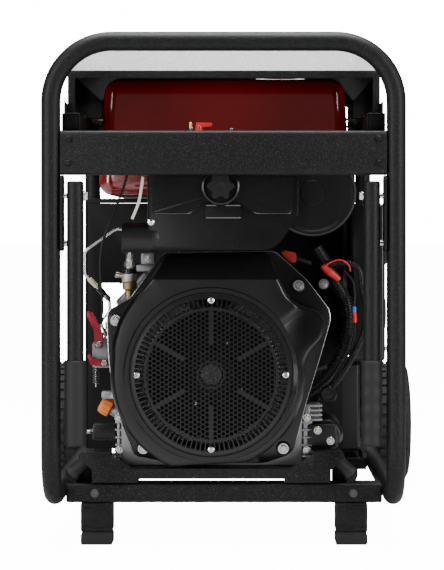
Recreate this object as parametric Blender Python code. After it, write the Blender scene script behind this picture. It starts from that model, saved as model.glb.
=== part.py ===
"""An open-frame V-twin diesel generator on two wheels and two feet.

Metres, +Z up, the floor at Z = 0. +X is the operator's right when facing the engine's cooling fan, and +Y
runs from the fan end, with the feet and the fold-down handles, to the alternator end, with the wheels.
"""

from math import cos, pi, radians, sin

import bmesh
import bpy
from mathutils import Matrix, Vector

# --- Driving sizes of the frame ---
GAP = 0.0003
FRAME_WIDTH = 0.600
FRAME_HEIGHT = 0.860
HOOP_SPACING = 0.870
TUBE_D = 0.032
TUBE_WALL = 0.002
TOP_BEND = 0.100
LOW_BEND = 0.080
RAIL_CLEARANCE = 0.072
CROSS_SETBACK = 0.116
REAR_CROSS_SETBACK = 0.336
CROSS_BAR_DEPTH = 0.050
TUBE_SIDES = 12
BEND_STEPS = 4

WHEEL_R = 0.127
AXLE_BEHIND_HOOP = 0.040
GRIP_R = 0.0182

TUBE_R = TUBE_D / 2
HALF_W = FRAME_WIDTH / 2 - TUBE_R
INNER_W = HALF_W - TUBE_R
MID_Y = (GRIP_R - AXLE_BEHIND_HOOP - WHEEL_R) / 2
FRONT_Y = MID_Y - HOOP_SPACING / 2
REAR_Y = MID_Y + HOOP_SPACING / 2
TOP_Z = FRAME_HEIGHT - TUBE_R
RAIL_Z = RAIL_CLEARANCE + TUBE_R
RAIL_TOP = RAIL_Z + TUBE_R
FRONT_CROSS_Y = FRONT_Y + CROSS_SETBACK
REAR_CROSS_Y = REAR_Y - REAR_CROSS_SETBACK

# --- Crossbars, upper rails and hood ---
CROSSBAR_TOP = FRAME_HEIGHT - 0.163
CROSSBAR_HEIGHT = 0.073
CROSSBAR_DEPTH = 0.024
CROSSBAR_SHEET = 0.003
UPPER_RAIL_TOP = CROSSBAR_TOP + 0.014
UPPER_RAIL_SIZE = 0.030
SHELF_REACH = 0.056
SHELF_THICK = 0.003
HOOD_HALF_W = INNER_W - 0.007
HOOD_FRONT = FRONT_Y + 0.050
HOOD_BEVEL = 0.042
HOOD_TOP = FRAME_HEIGHT - 0.015
HOOD_EAVE = HOOD_TOP - 0.045
HOOD_LIP = 0.012
HOOD_SHEET = 0.0016

# --- Fuel tank ---
TANK_HALF_W = HOOD_HALF_W - 0.041
TANK_FRONT = FRONT_Y + 0.160
TANK_LENGTH = 0.400
TANK_TOP = HOOD_EAVE - 0.003
TANK_BOTTOM = TANK_TOP - 0.204
TANK_ROUND = 0.030
TANK_TAPER = 0.945
CAP_R = 0.032
TAP_X = -0.041
TAP_Y = FRONT_Y + 0.040
TAP_STEM_R = 0.003
RUNNING_GAP = 0.0008
CAP_X = 0.100
CAP_Y = TANK_FRONT + 0.120
CAP_NECK_R = 0.024
CAP_NECK_H = 0.018
CAP_HEIGHT = 0.034
HOOD_HOLE_R = CAP_R + 0.013

# --- Feet ---
FOOT_X = 0.216
FOOT_WIDTH = 0.054
FOOT_DEPTH = 0.050
PAD_HEIGHT = 0.022
PAD_NECK = 0.014
FOOT_SHEET = 0.003

# --- Handles ---
HANDLE_R = 0.014
HANDLE_LENGTH = 0.430
HANDLE_TO_LEG = 0.010
PIVOT_BELOW_BAR = 0.034
HANDLE_ABOVE_PIVOT = 0.024
PIVOT_BOLT_R = 0.004
PIVOT_CLEARANCE = 0.0012
GRIP_LENGTH = 0.132
GRIP_GROOVES = 4
GROOVE_DEPTH = 0.0014
BRACKET_THICK = 0.004
BRACKET_HEIGHT = 0.125
HANDLE_X = INNER_W - HANDLE_TO_LEG - HANDLE_R
PIVOT_Z = CROSSBAR_TOP - CROSSBAR_HEIGHT - PIVOT_BELOW_BAR

# --- Wheels ---
TYRE_WIDTH = 0.075
RIM_R = 0.072
WHEEL_TO_FRAME = 0.006
AXLE_R = 0.010
WHEEL_X = FRAME_WIDTH / 2 + WHEEL_TO_FRAME + TYRE_WIDTH / 2
AXLE_Y = REAR_Y + AXLE_BEHIND_HOOP

# --- Engine ---
CRANK_X = -0.0215
CRANK_Z = 0.290
GRILLE_Y = FRONT_Y + 0.072
SHROUD_DEPTH = 0.055
SHROUD_SHEET = 0.0025
GRILLE_R = 0.132
GRILLE_THICK = 0.002
SHROUD_HOLE_R = 0.127
FLYWHEEL_R = 0.112
SHAFT_R = 0.0175
BEARING_GAP = 0.0006
CASE_FRONT = GRILLE_Y + SHROUD_DEPTH + GRILLE_THICK + 2 * GAP
CASE_LENGTH = 0.290
CASE_HALF_W = 0.155
DECK_RADIUS = 0.128
BANK_ANGLE = 45
CYLINDER_HALF_W = 0.050
CYLINDER_DEPTH = 0.140
CYLINDER_LENGTH = 0.045
HEAD_LENGTH = 0.018
ROCKER_COVER_HEIGHT = 0.014
CYLINDER_Y = CASE_FRONT + 0.145
BANK_STAGGER = 0.024
CASE_BACK = CASE_FRONT + CASE_LENGTH

# --- Air cleaner ---
AIRBOX_FRONT = FRONT_Y + 0.030
COVER_DEPTH = 0.058
HOUSING_DEPTH = 0.062
AIRBOX_WALL = 0.0025
KNOB_X = -0.005
KNOB_Z = 0.6065
KNOB_R = 0.023
PIPE_R = 0.025
PIPE_REACH = 0.165
PIPE_DROP = 0.086
CANISTER_X = 0.150
CANISTER_Z = 0.597
CANISTER_R = 0.073

# --- Alternator ---
ALT_R = 0.128
ALT_BORE = 0.082
ALT_LENGTH = 0.293
END_COVER_LENGTH = 0.084
ROTOR_R = 0.0805
BAFFLE_THICK = 0.003
BAFFLE_LOW = 0.125
BAFFLE_EDGE = 0.010
BAFFLE_SLOT_W = 0.052
BAFFLE_SLOT_LOW = 0.300
BAFFLE_SLOT_TOP = 0.434
ALT_FRONT = CASE_BACK + GAP

# --- Cradle beam, rubber mounts, rear lug and battery tray ---
BEAM_TOP = 0.130
BEAM_BOTTOM = RAIL_TOP + 0.0085
BEAM_LOW = RAIL_TOP + 0.0015
BEAM_ARCH_HALF = 0.124
BEAM_PLATE = 0.004
BEAM_DEPTH = 0.052
BRACKET_TOP = BEAM_TOP + 0.028
MOUNT_R = 0.0145
MOUNT_LENGTH = 0.034
MOUNT_Z = RAIL_TOP + 0.0230
MOUNT_LEFT = (-0.2476, MOUNT_Z)
MOUNT_RIGHT = (0.2046, MOUNT_Z)
GUSSET_THICK = 0.004
LUG_TOP = RAIL_TOP + 0.006
REAR_MOUNT_R = 0.020
REAR_MOUNT_HEIGHT = 0.025
TRAY_TOP = RAIL_TOP + 0.0125

# --- Muffler ---
MUFFLER_R = 0.073
MUFFLER_TO_BOX = 0.0025
MUFFLER_Y = REAR_Y - 0.105
MUFFLER_Z = CRANK_Z + ALT_R + MUFFLER_R + 0.007
EXHAUST_R = 0.014
HEADER_R = 0.007
TAIL_X = -0.150

# --- Control box and battery ---
BOX_DEPTH = 0.060
BOX_TO_RAIL = 0.0435
BOX_INNER_X = INNER_W - BOX_TO_RAIL
MUFFLER_HALF_L = BOX_INNER_X - MUFFLER_TO_BOX
BOX_FRONT = FRONT_Y + 0.250
BOX_LENGTH = 0.500
BOX_LOW = 0.300
BOX_TOP = 0.580
BATTERY_SIZE = (0.127, 0.195, 0.165)
BATTERY_X = 0.1890
STRAP_INSET = 0.010

# --- Injection pump, its levers and the looms ---
LEVER_PIVOT = (-0.2160, 0.3370)
STOP_PIVOT = (-0.2060, 0.3050)
LEVER_THICK = 0.0025
INJECTOR_X = -0.1635
INJECTOR_LOW = 0.416
INJECTOR_Y = FRONT_Y + 0.150
LOOM_Y = FRONT_Y + 0.190
BATTERY_Y = REAR_CROSS_Y + 0.026


# ---------- Basic solids ----------


def material(name, colour, roughness, metallic):
    found = bpy.data.materials.new(name)
    found.use_nodes = True
    shader = found.node_tree.nodes["Principled BSDF"]
    shader.inputs["Base Color"].default_value = (*colour, 1)
    shader.inputs["Roughness"].default_value = roughness
    shader.inputs["Metallic"].default_value = metallic
    found.diffuse_color = (*colour, 1)
    return found


def solid(name, bm, finish=None):
    """The object of a closed bmesh, its faces turned outwards and its round faces smooth."""
    bmesh.ops.recalc_face_normals(bm, faces=bm.faces)
    mesh = bpy.data.meshes.new(name)
    bm.to_mesh(mesh)
    bm.free()
    mesh.shade_smooth()
    mesh.set_sharp_from_angle(angle=radians(35))
    made = bpy.data.objects.new(name, mesh)
    bpy.context.scene.collection.objects.link(made)
    if finish:
        mesh.materials.append(finish)
    return made


def block(name, low, high, finish=None, bevel=0.0, steps=1):
    """A box between two corners, with rounded edges if bevel is given."""
    low, high = Vector(low), Vector(high)
    bm = bmesh.new()
    place = Matrix.Translation((low + high) / 2) @ Matrix.Diagonal((*(high - low), 1))
    bmesh.ops.create_cube(bm, size=1, matrix=place)
    if bevel:
        bmesh.ops.bevel(bm, geom=bm.edges[:], offset=bevel, segments=steps, affect="EDGES", profile=0.5)
    return solid(name, bm, finish)


def prism(name, outline, plane, low, high, finish=None):
    """An outline drawn in the plane XZ, XY or YZ, extruded from low to high along the third axis."""
    order = {"XZ": lambda a, b, c: (a, c, b), "XY": lambda a, b, c: (a, b, c), "YZ": lambda a, b, c: (c, a, b)}
    put = order[plane]
    bm = bmesh.new()
    start = [bm.verts.new(put(a, b, low)) for a, b in outline]
    end = [bm.verts.new(put(a, b, high)) for a, b in outline]
    bm.faces.new(start)
    bm.faces.new(end)
    for i in range(len(outline)):
        j = (i + 1) % len(outline)
        bm.faces.new((start[i], start[j], end[j], end[i]))
    return solid(name, bm, finish)


def facing(origin, direction):
    """The matrix that takes local +Z to direction and the local origin to origin."""
    turn = Vector(direction).to_track_quat("Z", "Y")
    return Matrix.Translation(Vector(origin)) @ turn.to_matrix().to_4x4()


def turned(name, origin, direction, profile, finish=None, steps=20):
    """A solid of revolution: profile goes once round the section, as (radius, height along direction)."""
    bm = bmesh.new()
    rings = []
    for radius, height in profile:
        if radius < 1e-6:
            rings.append([bm.verts.new((0, 0, height))])
            continue
        angles = [2 * pi * i / steps for i in range(steps)]
        rings.append([bm.verts.new((radius * cos(a), radius * sin(a), height)) for a in angles])
    for low, high in zip(rings, rings[1:] + rings[:1]):
        for i in range(steps):
            j = (i + 1) % steps
            corners = [low[i % len(low)], low[j % len(low)], high[j % len(high)], high[i % len(high)]]
            corners = list(dict.fromkeys(corners))
            if len(corners) > 2:
                bm.faces.new(corners)
    bm.transform(facing(origin, direction))
    return solid(name, bm, finish)


def rod(name, start, end, radius, finish=None, steps=16):
    """A plain cylinder from start to end."""
    along = Vector(end) - Vector(start)
    profile = [(0, 0), (radius, 0), (radius, along.length), (0, along.length)]
    return turned(name, start, along, profile, finish, steps)


def bent_path(corners, bends, steps):
    """The points of a line through corners, with each inner corner rounded to its bend radius."""
    points = [Vector(corners[0])]
    for before, corner, after, bend in zip(corners, corners[1:], corners[2:], bends):
        corner = Vector(corner)
        into = (corner - Vector(before)).normalized()
        out = (Vector(after) - corner).normalized()
        half = into.angle(out) / 2
        setback = bend * sin(half) / cos(half)
        centre = corner - into * setback + (out - into * into.dot(out)).normalized() * bend
        spoke = corner - into * setback - centre
        for i in range(steps + 1):
            turn = Matrix.Rotation(2 * half * i / steps, 3, into.cross(out))
            points.append(centre + turn @ spoke)
    points.append(Vector(corners[-1]))
    return points


def swept(name, points, radius, finish=None, sides=12, wall=None):
    """A round tube or bar along points. With wall given it is hollow and open at both ends."""
    bm = bmesh.new()
    tangents = []
    for i, point in enumerate(points):
        ahead = points[min(i + 1, len(points) - 1)] - point
        behind = point - points[max(i - 1, 0)]
        tangents.append((ahead.normalized() + behind.normalized()).normalized())
    side = tangents[0].orthogonal().normalized()
    layers = [radius] if wall is None else [radius, radius - wall]
    rings = [[] for _ in layers]
    for point, tangent in zip(points, tangents):
        side = (side - tangent * side.dot(tangent)).normalized()
        other = tangent.cross(side)
        for layer, size in zip(rings, layers):
            angles = [2 * pi * k / sides for k in range(sides)]
            layer.append([bm.verts.new(point + (side * cos(a) + other * sin(a)) * size) for a in angles])
    for layer in rings:
        for low, high in zip(layer, layer[1:]):
            for k in range(sides):
                m = (k + 1) % sides
                bm.faces.new((low[k], low[m], high[m], high[k]))
    for end in (0, -1):
        if wall is None:
            bm.faces.new(rings[0][end])
            continue
        for k in range(sides):
            m = (k + 1) % sides
            bm.faces.new((rings[0][end][k], rings[0][end][m], rings[1][end][m], rings[1][end][k]))
    return solid(name, bm, finish)


def combined(made, others, operation):
    """made, after a Boolean with each of the others, which are used up."""
    for other in others:
        step = made.modifiers.new("shape", "BOOLEAN")
        step.operation = operation
        step.object = other
        step.solver = "EXACT"
        bpy.context.view_layer.update()
        result = bpy.data.meshes.new_from_object(made.evaluated_get(bpy.context.evaluated_depsgraph_get()))
        made.modifiers.clear()
        made.data = result
        bpy.data.objects.remove(other)
    made.data.shade_smooth()
    made.data.set_sharp_from_angle(angle=radians(35))
    return made


def joined(made, *others):
    return combined(made, others, "UNION")


def cut(made, *others):
    return combined(made, others, "DIFFERENCE")


def origin_to(made, point):
    """Puts the object's own origin on a joint's axis, leaving its shape where it is."""
    made.data.transform(Matrix.Translation(-Vector(point)))
    made.location = Vector(point)
    return made


def arc(centre, radius, start, end, steps):
    """Points of a circular arc in a drawing plane, angles in degrees."""
    angles = [radians(start + (end - start) * i / steps) for i in range(steps + 1)]
    return [(centre[0] + radius * cos(a), centre[1] + radius * sin(a)) for a in angles]


def grown(outline, by):
    """The outline moved outwards by a distance (inwards if negative), drawn anticlockwise."""
    count = len(outline)
    moved = []
    for i in range(count):
        before = Vector(outline[i - 1])
        here = Vector(outline[i])
        after = Vector(outline[(i + 1) % count])
        a = (here - before).normalized()
        b = (after - here).normalized()
        mitre = Vector((a.y + b.y, -(a.x + b.x)))
        mitre = mitre / max(0.3, 1 + a.dot(b))
        moved.append(tuple(here + mitre * by))
    return moved


# ---------- Materials ----------

BLACK = material("frame_black", (0.022, 0.022, 0.024), 0.42, 0.0)
SATIN = material("satin_black_steel", (0.030, 0.029, 0.031), 0.36, 0.0)
PLASTIC = material("black_plastic", (0.026, 0.026, 0.028), 0.55, 0.0)
RUBBER = material("black_rubber", (0.018, 0.018, 0.018), 0.80, 0.0)
RED = material("red_enamel", (0.55, 0.015, 0.012), 0.16, 0.0)
RED_PLASTIC = material("red_plastic", (0.62, 0.03, 0.02), 0.40, 0.0)
ALUMINIUM = material("cast_aluminium", (0.42, 0.42, 0.43), 0.48, 0.9)
STEEL = material("bright_steel", (0.62, 0.61, 0.60), 0.25, 1.0)
IRON = material("cast_iron", (0.13, 0.13, 0.135), 0.60, 0.7)
PAPER = material("filter_paper", (0.72, 0.62, 0.40), 0.85, 0.0)
ORANGE = material("orange_plastic", (0.85, 0.22, 0.03), 0.38, 0.0)


# ---------- Frame ----------


def hoop(name, y, inward):
    """One bent tube: up, over and down, its feet turned along the sides as halves of the lower rails."""
    end = MID_Y - inward * GAP / 2
    corners = [(-HALF_W, end, RAIL_Z), (-HALF_W, y, RAIL_Z), (-HALF_W, y, TOP_Z)]
    corners += [(HALF_W, y, TOP_Z), (HALF_W, y, RAIL_Z), (HALF_W, end, RAIL_Z)]
    bends = [LOW_BEND, TOP_BEND, TOP_BEND, LOW_BEND]
    return swept(name, bent_path(corners, bends, BEND_STEPS), TUBE_R, BLACK, TUBE_SIDES, TUBE_WALL)


def cross_tube(name, y):
    """A tube between the two lower rails, its ends coped to fit round them."""
    tube = rod(name, (-HALF_W, y, RAIL_Z), (HALF_W, y, RAIL_Z), TUBE_R, BLACK, TUBE_SIDES)
    reach = TUBE_D * 2
    rails = []
    for side in (-1, 1):
        start = (side * HALF_W, y - reach, RAIL_Z)
        rails.append(rod("rail", start, (start[0], y + reach, RAIL_Z), TUBE_R + 2 * GAP, BLACK, 24))
    return cut(tube, *rails)


def crossbar(name, y, out):
    """A bent sheet channel between the hoop legs, its shelf reaching in over the upper rails."""
    outline = [(y + out * a, b) for a, b in channel_outline()]
    return prism(name, outline, "YZ", -(INNER_W - GAP), INNER_W - GAP, BLACK)


def channel_outline():
    """The section of a crossbar: distance towards the outside of the frame, and height."""
    front = CROSSBAR_DEPTH / 2
    low = CROSSBAR_TOP - CROSSBAR_HEIGHT
    bend = 0.006
    t = CROSSBAR_SHEET
    top = CROSSBAR_TOP
    outer = [(-SHELF_REACH, top), (-SHELF_REACH, top - t), (front - bend, top - t), (front - t, top - bend)]
    outer += [(front - t, low + bend), (front - bend, low + t), (-front, low + t), (-front, low)]
    outer += [(front - bend, low), (front, low + bend), (front, top - bend), (front - bend, top)]
    return outer


def front_crossbar():
    bar = crossbar("front_crossbar", FRONT_Y, -1)
    bolts = []
    for side in (-1, 1):
        for drop in (0.014, 0.053):
            start = (side * (INNER_W - 0.013), FRONT_Y - CROSSBAR_DEPTH / 2 + 0.001, CROSSBAR_TOP - drop)
            end = (start[0], FRONT_Y - CROSSBAR_DEPTH / 2 - 0.0025, start[2])
            bolts.append(rod("bolt", start, end, 0.005, STEEL, 6))
    bar = joined(bar, *bolts)
    low = (TAP_X, TAP_Y, CROSSBAR_TOP - 0.01)
    tap_hole = rod("hole", low, (TAP_X, TAP_Y, CROSSBAR_TOP + 0.01), TAP_STEM_R + RUNNING_GAP, BLACK, 12)
    return cut(bar, tap_hole)


def upper_rail(name, side):
    """A square tube under the eaves, from one crossbar's shelf to the other's."""
    outer = side * (INNER_W - GAP)
    inner = side * (INNER_W - GAP - UPPER_RAIL_SIZE)
    reach = HOOP_SPACING / 2 - TUBE_R - 0.004
    low = (min(outer, inner), MID_Y - reach, CROSSBAR_TOP + GAP)
    high = (max(outer, inner), MID_Y + reach, CROSSBAR_TOP + GAP + UPPER_RAIL_SIZE)
    tube = block(name, low, high, BLACK)
    wall = 0.0025
    bore_low = (low[0] + wall, -1, low[2] + wall)
    bore_high = (high[0] - wall, 1, high[2] - wall)
    return cut(tube, block("bore", bore_low, bore_high))


def hood():
    """A folded tray roof with a bevel all round, standing on the upper rails on its side skirts."""
    back = REAR_Y - (HOOD_FRONT - FRONT_Y)
    bm = bmesh.new()
    low = CROSSBAR_TOP + UPPER_RAIL_SIZE + 2 * GAP
    layers = []
    for inset in (0.0, HOOD_SHEET):
        levels = [(0.0, low), (0.0, HOOD_EAVE), (HOOD_BEVEL, HOOD_TOP)]
        rings = []
        for bevel, height in levels:
            w = HOOD_HALF_W - bevel - inset
            y0 = HOOD_FRONT + bevel + inset
            y1 = back - bevel - inset
            drop = 0 if height == low else inset * (0.45 if bevel == 0 else 1.0)
            points = [(-w, y0), (w, y0), (w, y1), (-w, y1)]
            rings.append([bm.verts.new((x, y, height - drop)) for x, y in points])
        layers.append(rings)
    for rings in layers:
        for a, b in zip(rings, rings[1:]):
            for i in range(4):
                j = (i + 1) % 4
                bm.faces.new((a[i], a[j], b[j], b[i]))
        bm.faces.new(rings[-1])
    for i in range(4):
        j = (i + 1) % 4
        bm.faces.new((layers[0][0][i], layers[0][0][j], layers[1][0][j], layers[1][0][i]))
    made = solid("hood", bm, BLACK)
    hole = rod("hole", (CAP_X, CAP_Y, HOOD_TOP - 0.02), (CAP_X, CAP_Y, HOOD_TOP + 0.02), HOOD_HOLE_R, BLACK, 24)
    reach = HOOD_HALF_W + 0.02
    window = block("window", (-reach, HOOD_FRONT + 0.060, HOOD_EAVE - 0.044),
                   (reach, HOOD_FRONT + 0.086, HOOD_EAVE - 0.010))
    gate = block("gate", (-HOOD_HALF_W + 0.012, HOOD_FRONT - 0.02, low - 0.01),
                 (HOOD_HALF_W - 0.012, HOOD_FRONT + 0.02, HOOD_EAVE - HOOD_LIP))
    rear_gate = block("rear_gate", (-HOOD_HALF_W + 0.012, back - 0.02, low - 0.01),
                      (HOOD_HALF_W - 0.012, back + 0.02, HOOD_EAVE - HOOD_LIP))
    return cut(made, hole, window, gate, rear_gate)


def front_cross_tube():
    """The front cross bar, with the slanted lugs the engine's rubber mounts stand on and a gusset behind each."""
    reach = INNER_W - GAP
    low = (-reach, FRONT_CROSS_Y - CROSS_BAR_DEPTH / 2, RAIL_CLEARANCE)
    bar = block("front_cross_tube", low, (reach, FRONT_CROSS_Y + CROSS_BAR_DEPTH / 2, RAIL_TOP), BLACK)
    added = []
    gusset_y = FRONT_CROSS_Y + MOUNT_R + 0.001
    for side, (x, z) in ((-1, MOUNT_LEFT), (1, MOUNT_RIGHT)):
        half = (MOUNT_LENGTH / 2 + GAP) * sin(pi / 4)
        face_x, face_z = x + side * half, z - half
        wide = MOUNT_R * sin(pi / 4)
        outline = [(face_x + side * wide, face_z + wide), (face_x - side * wide, face_z - wide)]
        outline += [(face_x - side * wide, RAIL_Z + 0.004), (face_x + side * 0.002, RAIL_Z + 0.004)]
        outline += [(face_x + side * wide, face_z + 0.002)]
        added.append(prism("lug", outline, "XZ", FRONT_CROSS_Y - MOUNT_R, FRONT_CROSS_Y + MOUNT_R))
        outer, inner = x + side * 0.0184, x - side * 0.0206
        outline = [(outer, RAIL_TOP - 0.004), (inner, RAIL_TOP - 0.004), (inner, z - 0.0025)]
        outline += [(x - side * 0.0006, z + 0.0175), (outer, z + 0.001)]
        added.append(prism("gusset", outline, "XZ", gusset_y, gusset_y + GUSSET_THICK))
    return joined(bar, *added)


def alternator_beam():
    """The second cross tube with the alternator's flat lug and the battery tray."""
    tube = cross_tube("alternator_beam", REAR_CROSS_Y)
    half = REAR_MOUNT_R + 0.004
    low = (CRANK_X - half, REAR_CROSS_Y - half, RAIL_Z + 0.003)
    lug = block("lug", low, (CRANK_X + half, REAR_CROSS_Y + half, LUG_TOP))
    wide, deep = BATTERY_SIZE[0] / 2 + 0.006, BATTERY_SIZE[1] / 2 + 0.006
    low = (BATTERY_X - wide, BATTERY_Y - deep, RAIL_TOP - 0.0035)
    tray = block("tray", low, (BATTERY_X + wide, BATTERY_Y + deep, TRAY_TOP))
    return joined(tube, lug, tray)


def engine_beam():
    """The cradle beam under the engine, arched in the middle, its ends turned up to the slanted mounts."""
    corners = {}
    for side, (x, z) in ((-1, MOUNT_LEFT), (1, MOUNT_RIGHT)):
        half = (MOUNT_LENGTH / 2 + GAP) * sin(pi / 4)
        wide = (MOUNT_R + 0.002) * sin(pi / 4)
        face_x, face_z = x - side * half, z + half
        corners[side] = [(face_x - side * wide, face_z - wide), (face_x + side * wide, face_z + wide)]
    left, right = corners[-1], corners[1]
    case_left, case_right = CRANK_X - CASE_HALF_W - 0.016, CRANK_X + CASE_HALF_W + 0.016
    arch_left, arch_right = CRANK_X - BEAM_ARCH_HALF, CRANK_X + BEAM_ARCH_HALF
    outline = [left[0], (left[0][0], BEAM_LOW), (arch_left, BEAM_LOW), (arch_left, BEAM_BOTTOM)]
    outline += [(arch_right, BEAM_BOTTOM), (arch_right, BEAM_LOW), (right[0][0], BEAM_LOW), right[0], right[1]]
    outline += [(right[1][0] - 0.006, BRACKET_TOP), (case_right, BRACKET_TOP), (case_right, BEAM_TOP)]
    outline += [(case_left, BEAM_TOP), (case_left, BRACKET_TOP), (left[1][0] + 0.006, BRACKET_TOP), left[1]]
    front = FRONT_CROSS_Y - BEAM_DEPTH / 2
    beam = prism("engine_beam", outline, "XZ", front, FRONT_CROSS_Y + BEAM_DEPTH / 2, BLACK)
    plates = []
    for x, foot_x, side in ((case_left, arch_left, 1), (case_right, arch_right, -1)):
        outline = [(x - side * 0.004, BRACKET_TOP - 0.002), (foot_x - side * 0.005, BEAM_TOP - 0.002)]
        outline += [(foot_x - side * 0.005, BEAM_TOP - 0.008), (x - side * 0.004, BEAM_TOP - 0.008)]
        plates.append(prism("plate", outline, "XZ", front + 0.001, front + 0.001 + BEAM_PLATE))
    return joined(beam, *plates)


def rubber_mounts():
    for name, side, (x, z) in (("mount_front_left", -1, MOUNT_LEFT), ("mount_front_right", 1, MOUNT_RIGHT)):
        half = MOUNT_LENGTH / 2 * sin(pi / 4)
        start = (x + side * half, FRONT_CROSS_Y, z - half)
        rod(name, start, (x - side * half, FRONT_CROSS_Y, z + half), MOUNT_R, RUBBER, 16)
    low = (CRANK_X, REAR_CROSS_Y, LUG_TOP + GAP)
    rod("mount_rear", low, (CRANK_X, REAR_CROSS_Y, low[2] + REAR_MOUNT_HEIGHT), REAR_MOUNT_R, RUBBER, 16)


def foot(side, word):
    """A steel cup under the front cross tube and the rubber pad it stands on."""
    low = Vector((side * FOOT_X - FOOT_WIDTH / 2, FRONT_CROSS_Y - FOOT_DEPTH / 2, PAD_HEIGHT + GAP))
    high = Vector((side * FOOT_X + FOOT_WIDTH / 2, FRONT_CROSS_Y + FOOT_DEPTH / 2, RAIL_CLEARANCE - GAP))
    cup = block("foot_" + word, low, high, BLACK, 0.003)
    sheet = Vector((FOOT_SHEET, FOOT_SHEET, FOOT_SHEET))
    hollow = block("hollow", low + sheet - Vector((0, 0, 0.02)), high - sheet)
    cut(cup, hollow)
    block("foot_pad_" + word, (low.x, low.y, 0), (high.x, high.y, PAD_HEIGHT), RUBBER, 0.003)


def handle_set(side, word):
    """A hinge plate with its pivot bolt, the fold-down tube hanging on it and the tube's rubber grip."""
    plate_x = side * (INNER_W - GAP - BRACKET_THICK)
    low_z = PIVOT_Z + PIVOT_BELOW_BAR - 2 * GAP - BRACKET_HEIGHT
    low = (min(plate_x, side * (INNER_W - GAP)), FRONT_Y - 0.014, low_z)
    high = (max(plate_x, side * (INNER_W - GAP)), FRONT_Y + 0.026, low_z + BRACKET_HEIGHT)
    plate = block("handle_bracket_" + word, low, high, BLACK)
    inner_x = side * (HANDLE_X - HANDLE_R - RUNNING_GAP)
    bolt_end = (inner_x - side * 0.002, FRONT_Y, PIVOT_Z)
    bolt = rod("bolt", (plate_x + side * 0.002, FRONT_Y, PIVOT_Z), bolt_end, PIVOT_BOLT_R)
    nut_end = (inner_x - side * 0.006, FRONT_Y, PIVOT_Z)
    nut = rod("nut", (inner_x, FRONT_Y, PIVOT_Z), nut_end, 0.0075, BLACK, 6)
    joined(plate, bolt, nut)
    top_z = PIVOT_Z + HANDLE_ABOVE_PIVOT
    low_end = (side * HANDLE_X, FRONT_Y, top_z - HANDLE_LENGTH)
    tube = rod("handle_" + word, low_end, (side * HANDLE_X, FRONT_Y, top_z), HANDLE_R, BLACK, 16)
    reach = side * (HANDLE_X - 0.03)
    hole = rod("hole", (reach, FRONT_Y, PIVOT_Z), (side * (HANDLE_X + 0.03), FRONT_Y, PIVOT_Z),
               PIVOT_BOLT_R + PIVOT_CLEARANCE, BLACK, 12)
    cut(tube, hole)
    origin_to(tube, (side * HANDLE_X, FRONT_Y, PIVOT_Z))
    bore = HANDLE_R + GAP
    profile = [(0, -0.006), (GRIP_R, -0.004)]
    pitch = GRIP_LENGTH / GRIP_GROOVES
    for i in range(1, GRIP_GROOVES):
        profile += [(GRIP_R, i * pitch - 0.009), (GRIP_R - GROOVE_DEPTH, i * pitch), (GRIP_R, i * pitch + 0.009)]
    profile += [(GRIP_R, GRIP_LENGTH), (bore, GRIP_LENGTH), (bore, -GAP), (0, -GAP)]
    grip = turned("grip_" + word, low_end, (0, 0, 1), profile, RUBBER, 16)
    origin_to(grip, (side * HANDLE_X, FRONT_Y, PIVOT_Z))


def wheel(side, word):
    """A tyre and its rim on the axle."""
    centre = (side * WHEEL_X, AXLE_Y, WHEEL_R)
    half = TYRE_WIDTH / 2
    tread = half * 0.56
    tyre = [(RIM_R, -half * 0.8), (RIM_R + 0.026, -half), (WHEEL_R - 0.007, -half * 0.9), (WHEEL_R, -tread)]
    tyre += [(r, -h) for r, h in reversed(tyre)]
    origin_to(turned("tyre_" + word, centre, (1, 0, 0), tyre, RUBBER, 28), centre)
    bore = AXLE_R + RUNNING_GAP
    rim = [(bore, -half * 0.8), (0.022, -half * 0.8), (0.022, -0.006), (RIM_R - 0.012, -0.006)]
    rim += [(RIM_R - 0.006, -half * 0.76), (RIM_R - GAP, -half * 0.76)]
    rim += [(r, -h) for r, h in reversed(rim)]
    origin_to(turned("rim_" + word, centre, (1, 0, 0), rim, STEEL, 28), centre)


def axle():
    """The through axle with the two plates that hold it behind the rear hoop."""
    reach = WHEEL_X + TYRE_WIDTH / 2 + 0.002
    made = rod("axle", (-reach, AXLE_Y, WHEEL_R), (reach, AXLE_Y, WHEEL_R), AXLE_R, STEEL, 16)
    plates = []
    for side in (-1, 1):
        inner, outer = side * (INNER_W - GAP - 0.005), side * (INNER_W - GAP)
        low = (min(inner, outer), REAR_Y - 0.040, RAIL_TOP + 0.001)
        plates.append(block("plate", low, (max(inner, outer), AXLE_Y + 0.018, WHEEL_R + 0.022)))
    return joined(made, *plates)


# ---------- Fuel ----------


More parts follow.
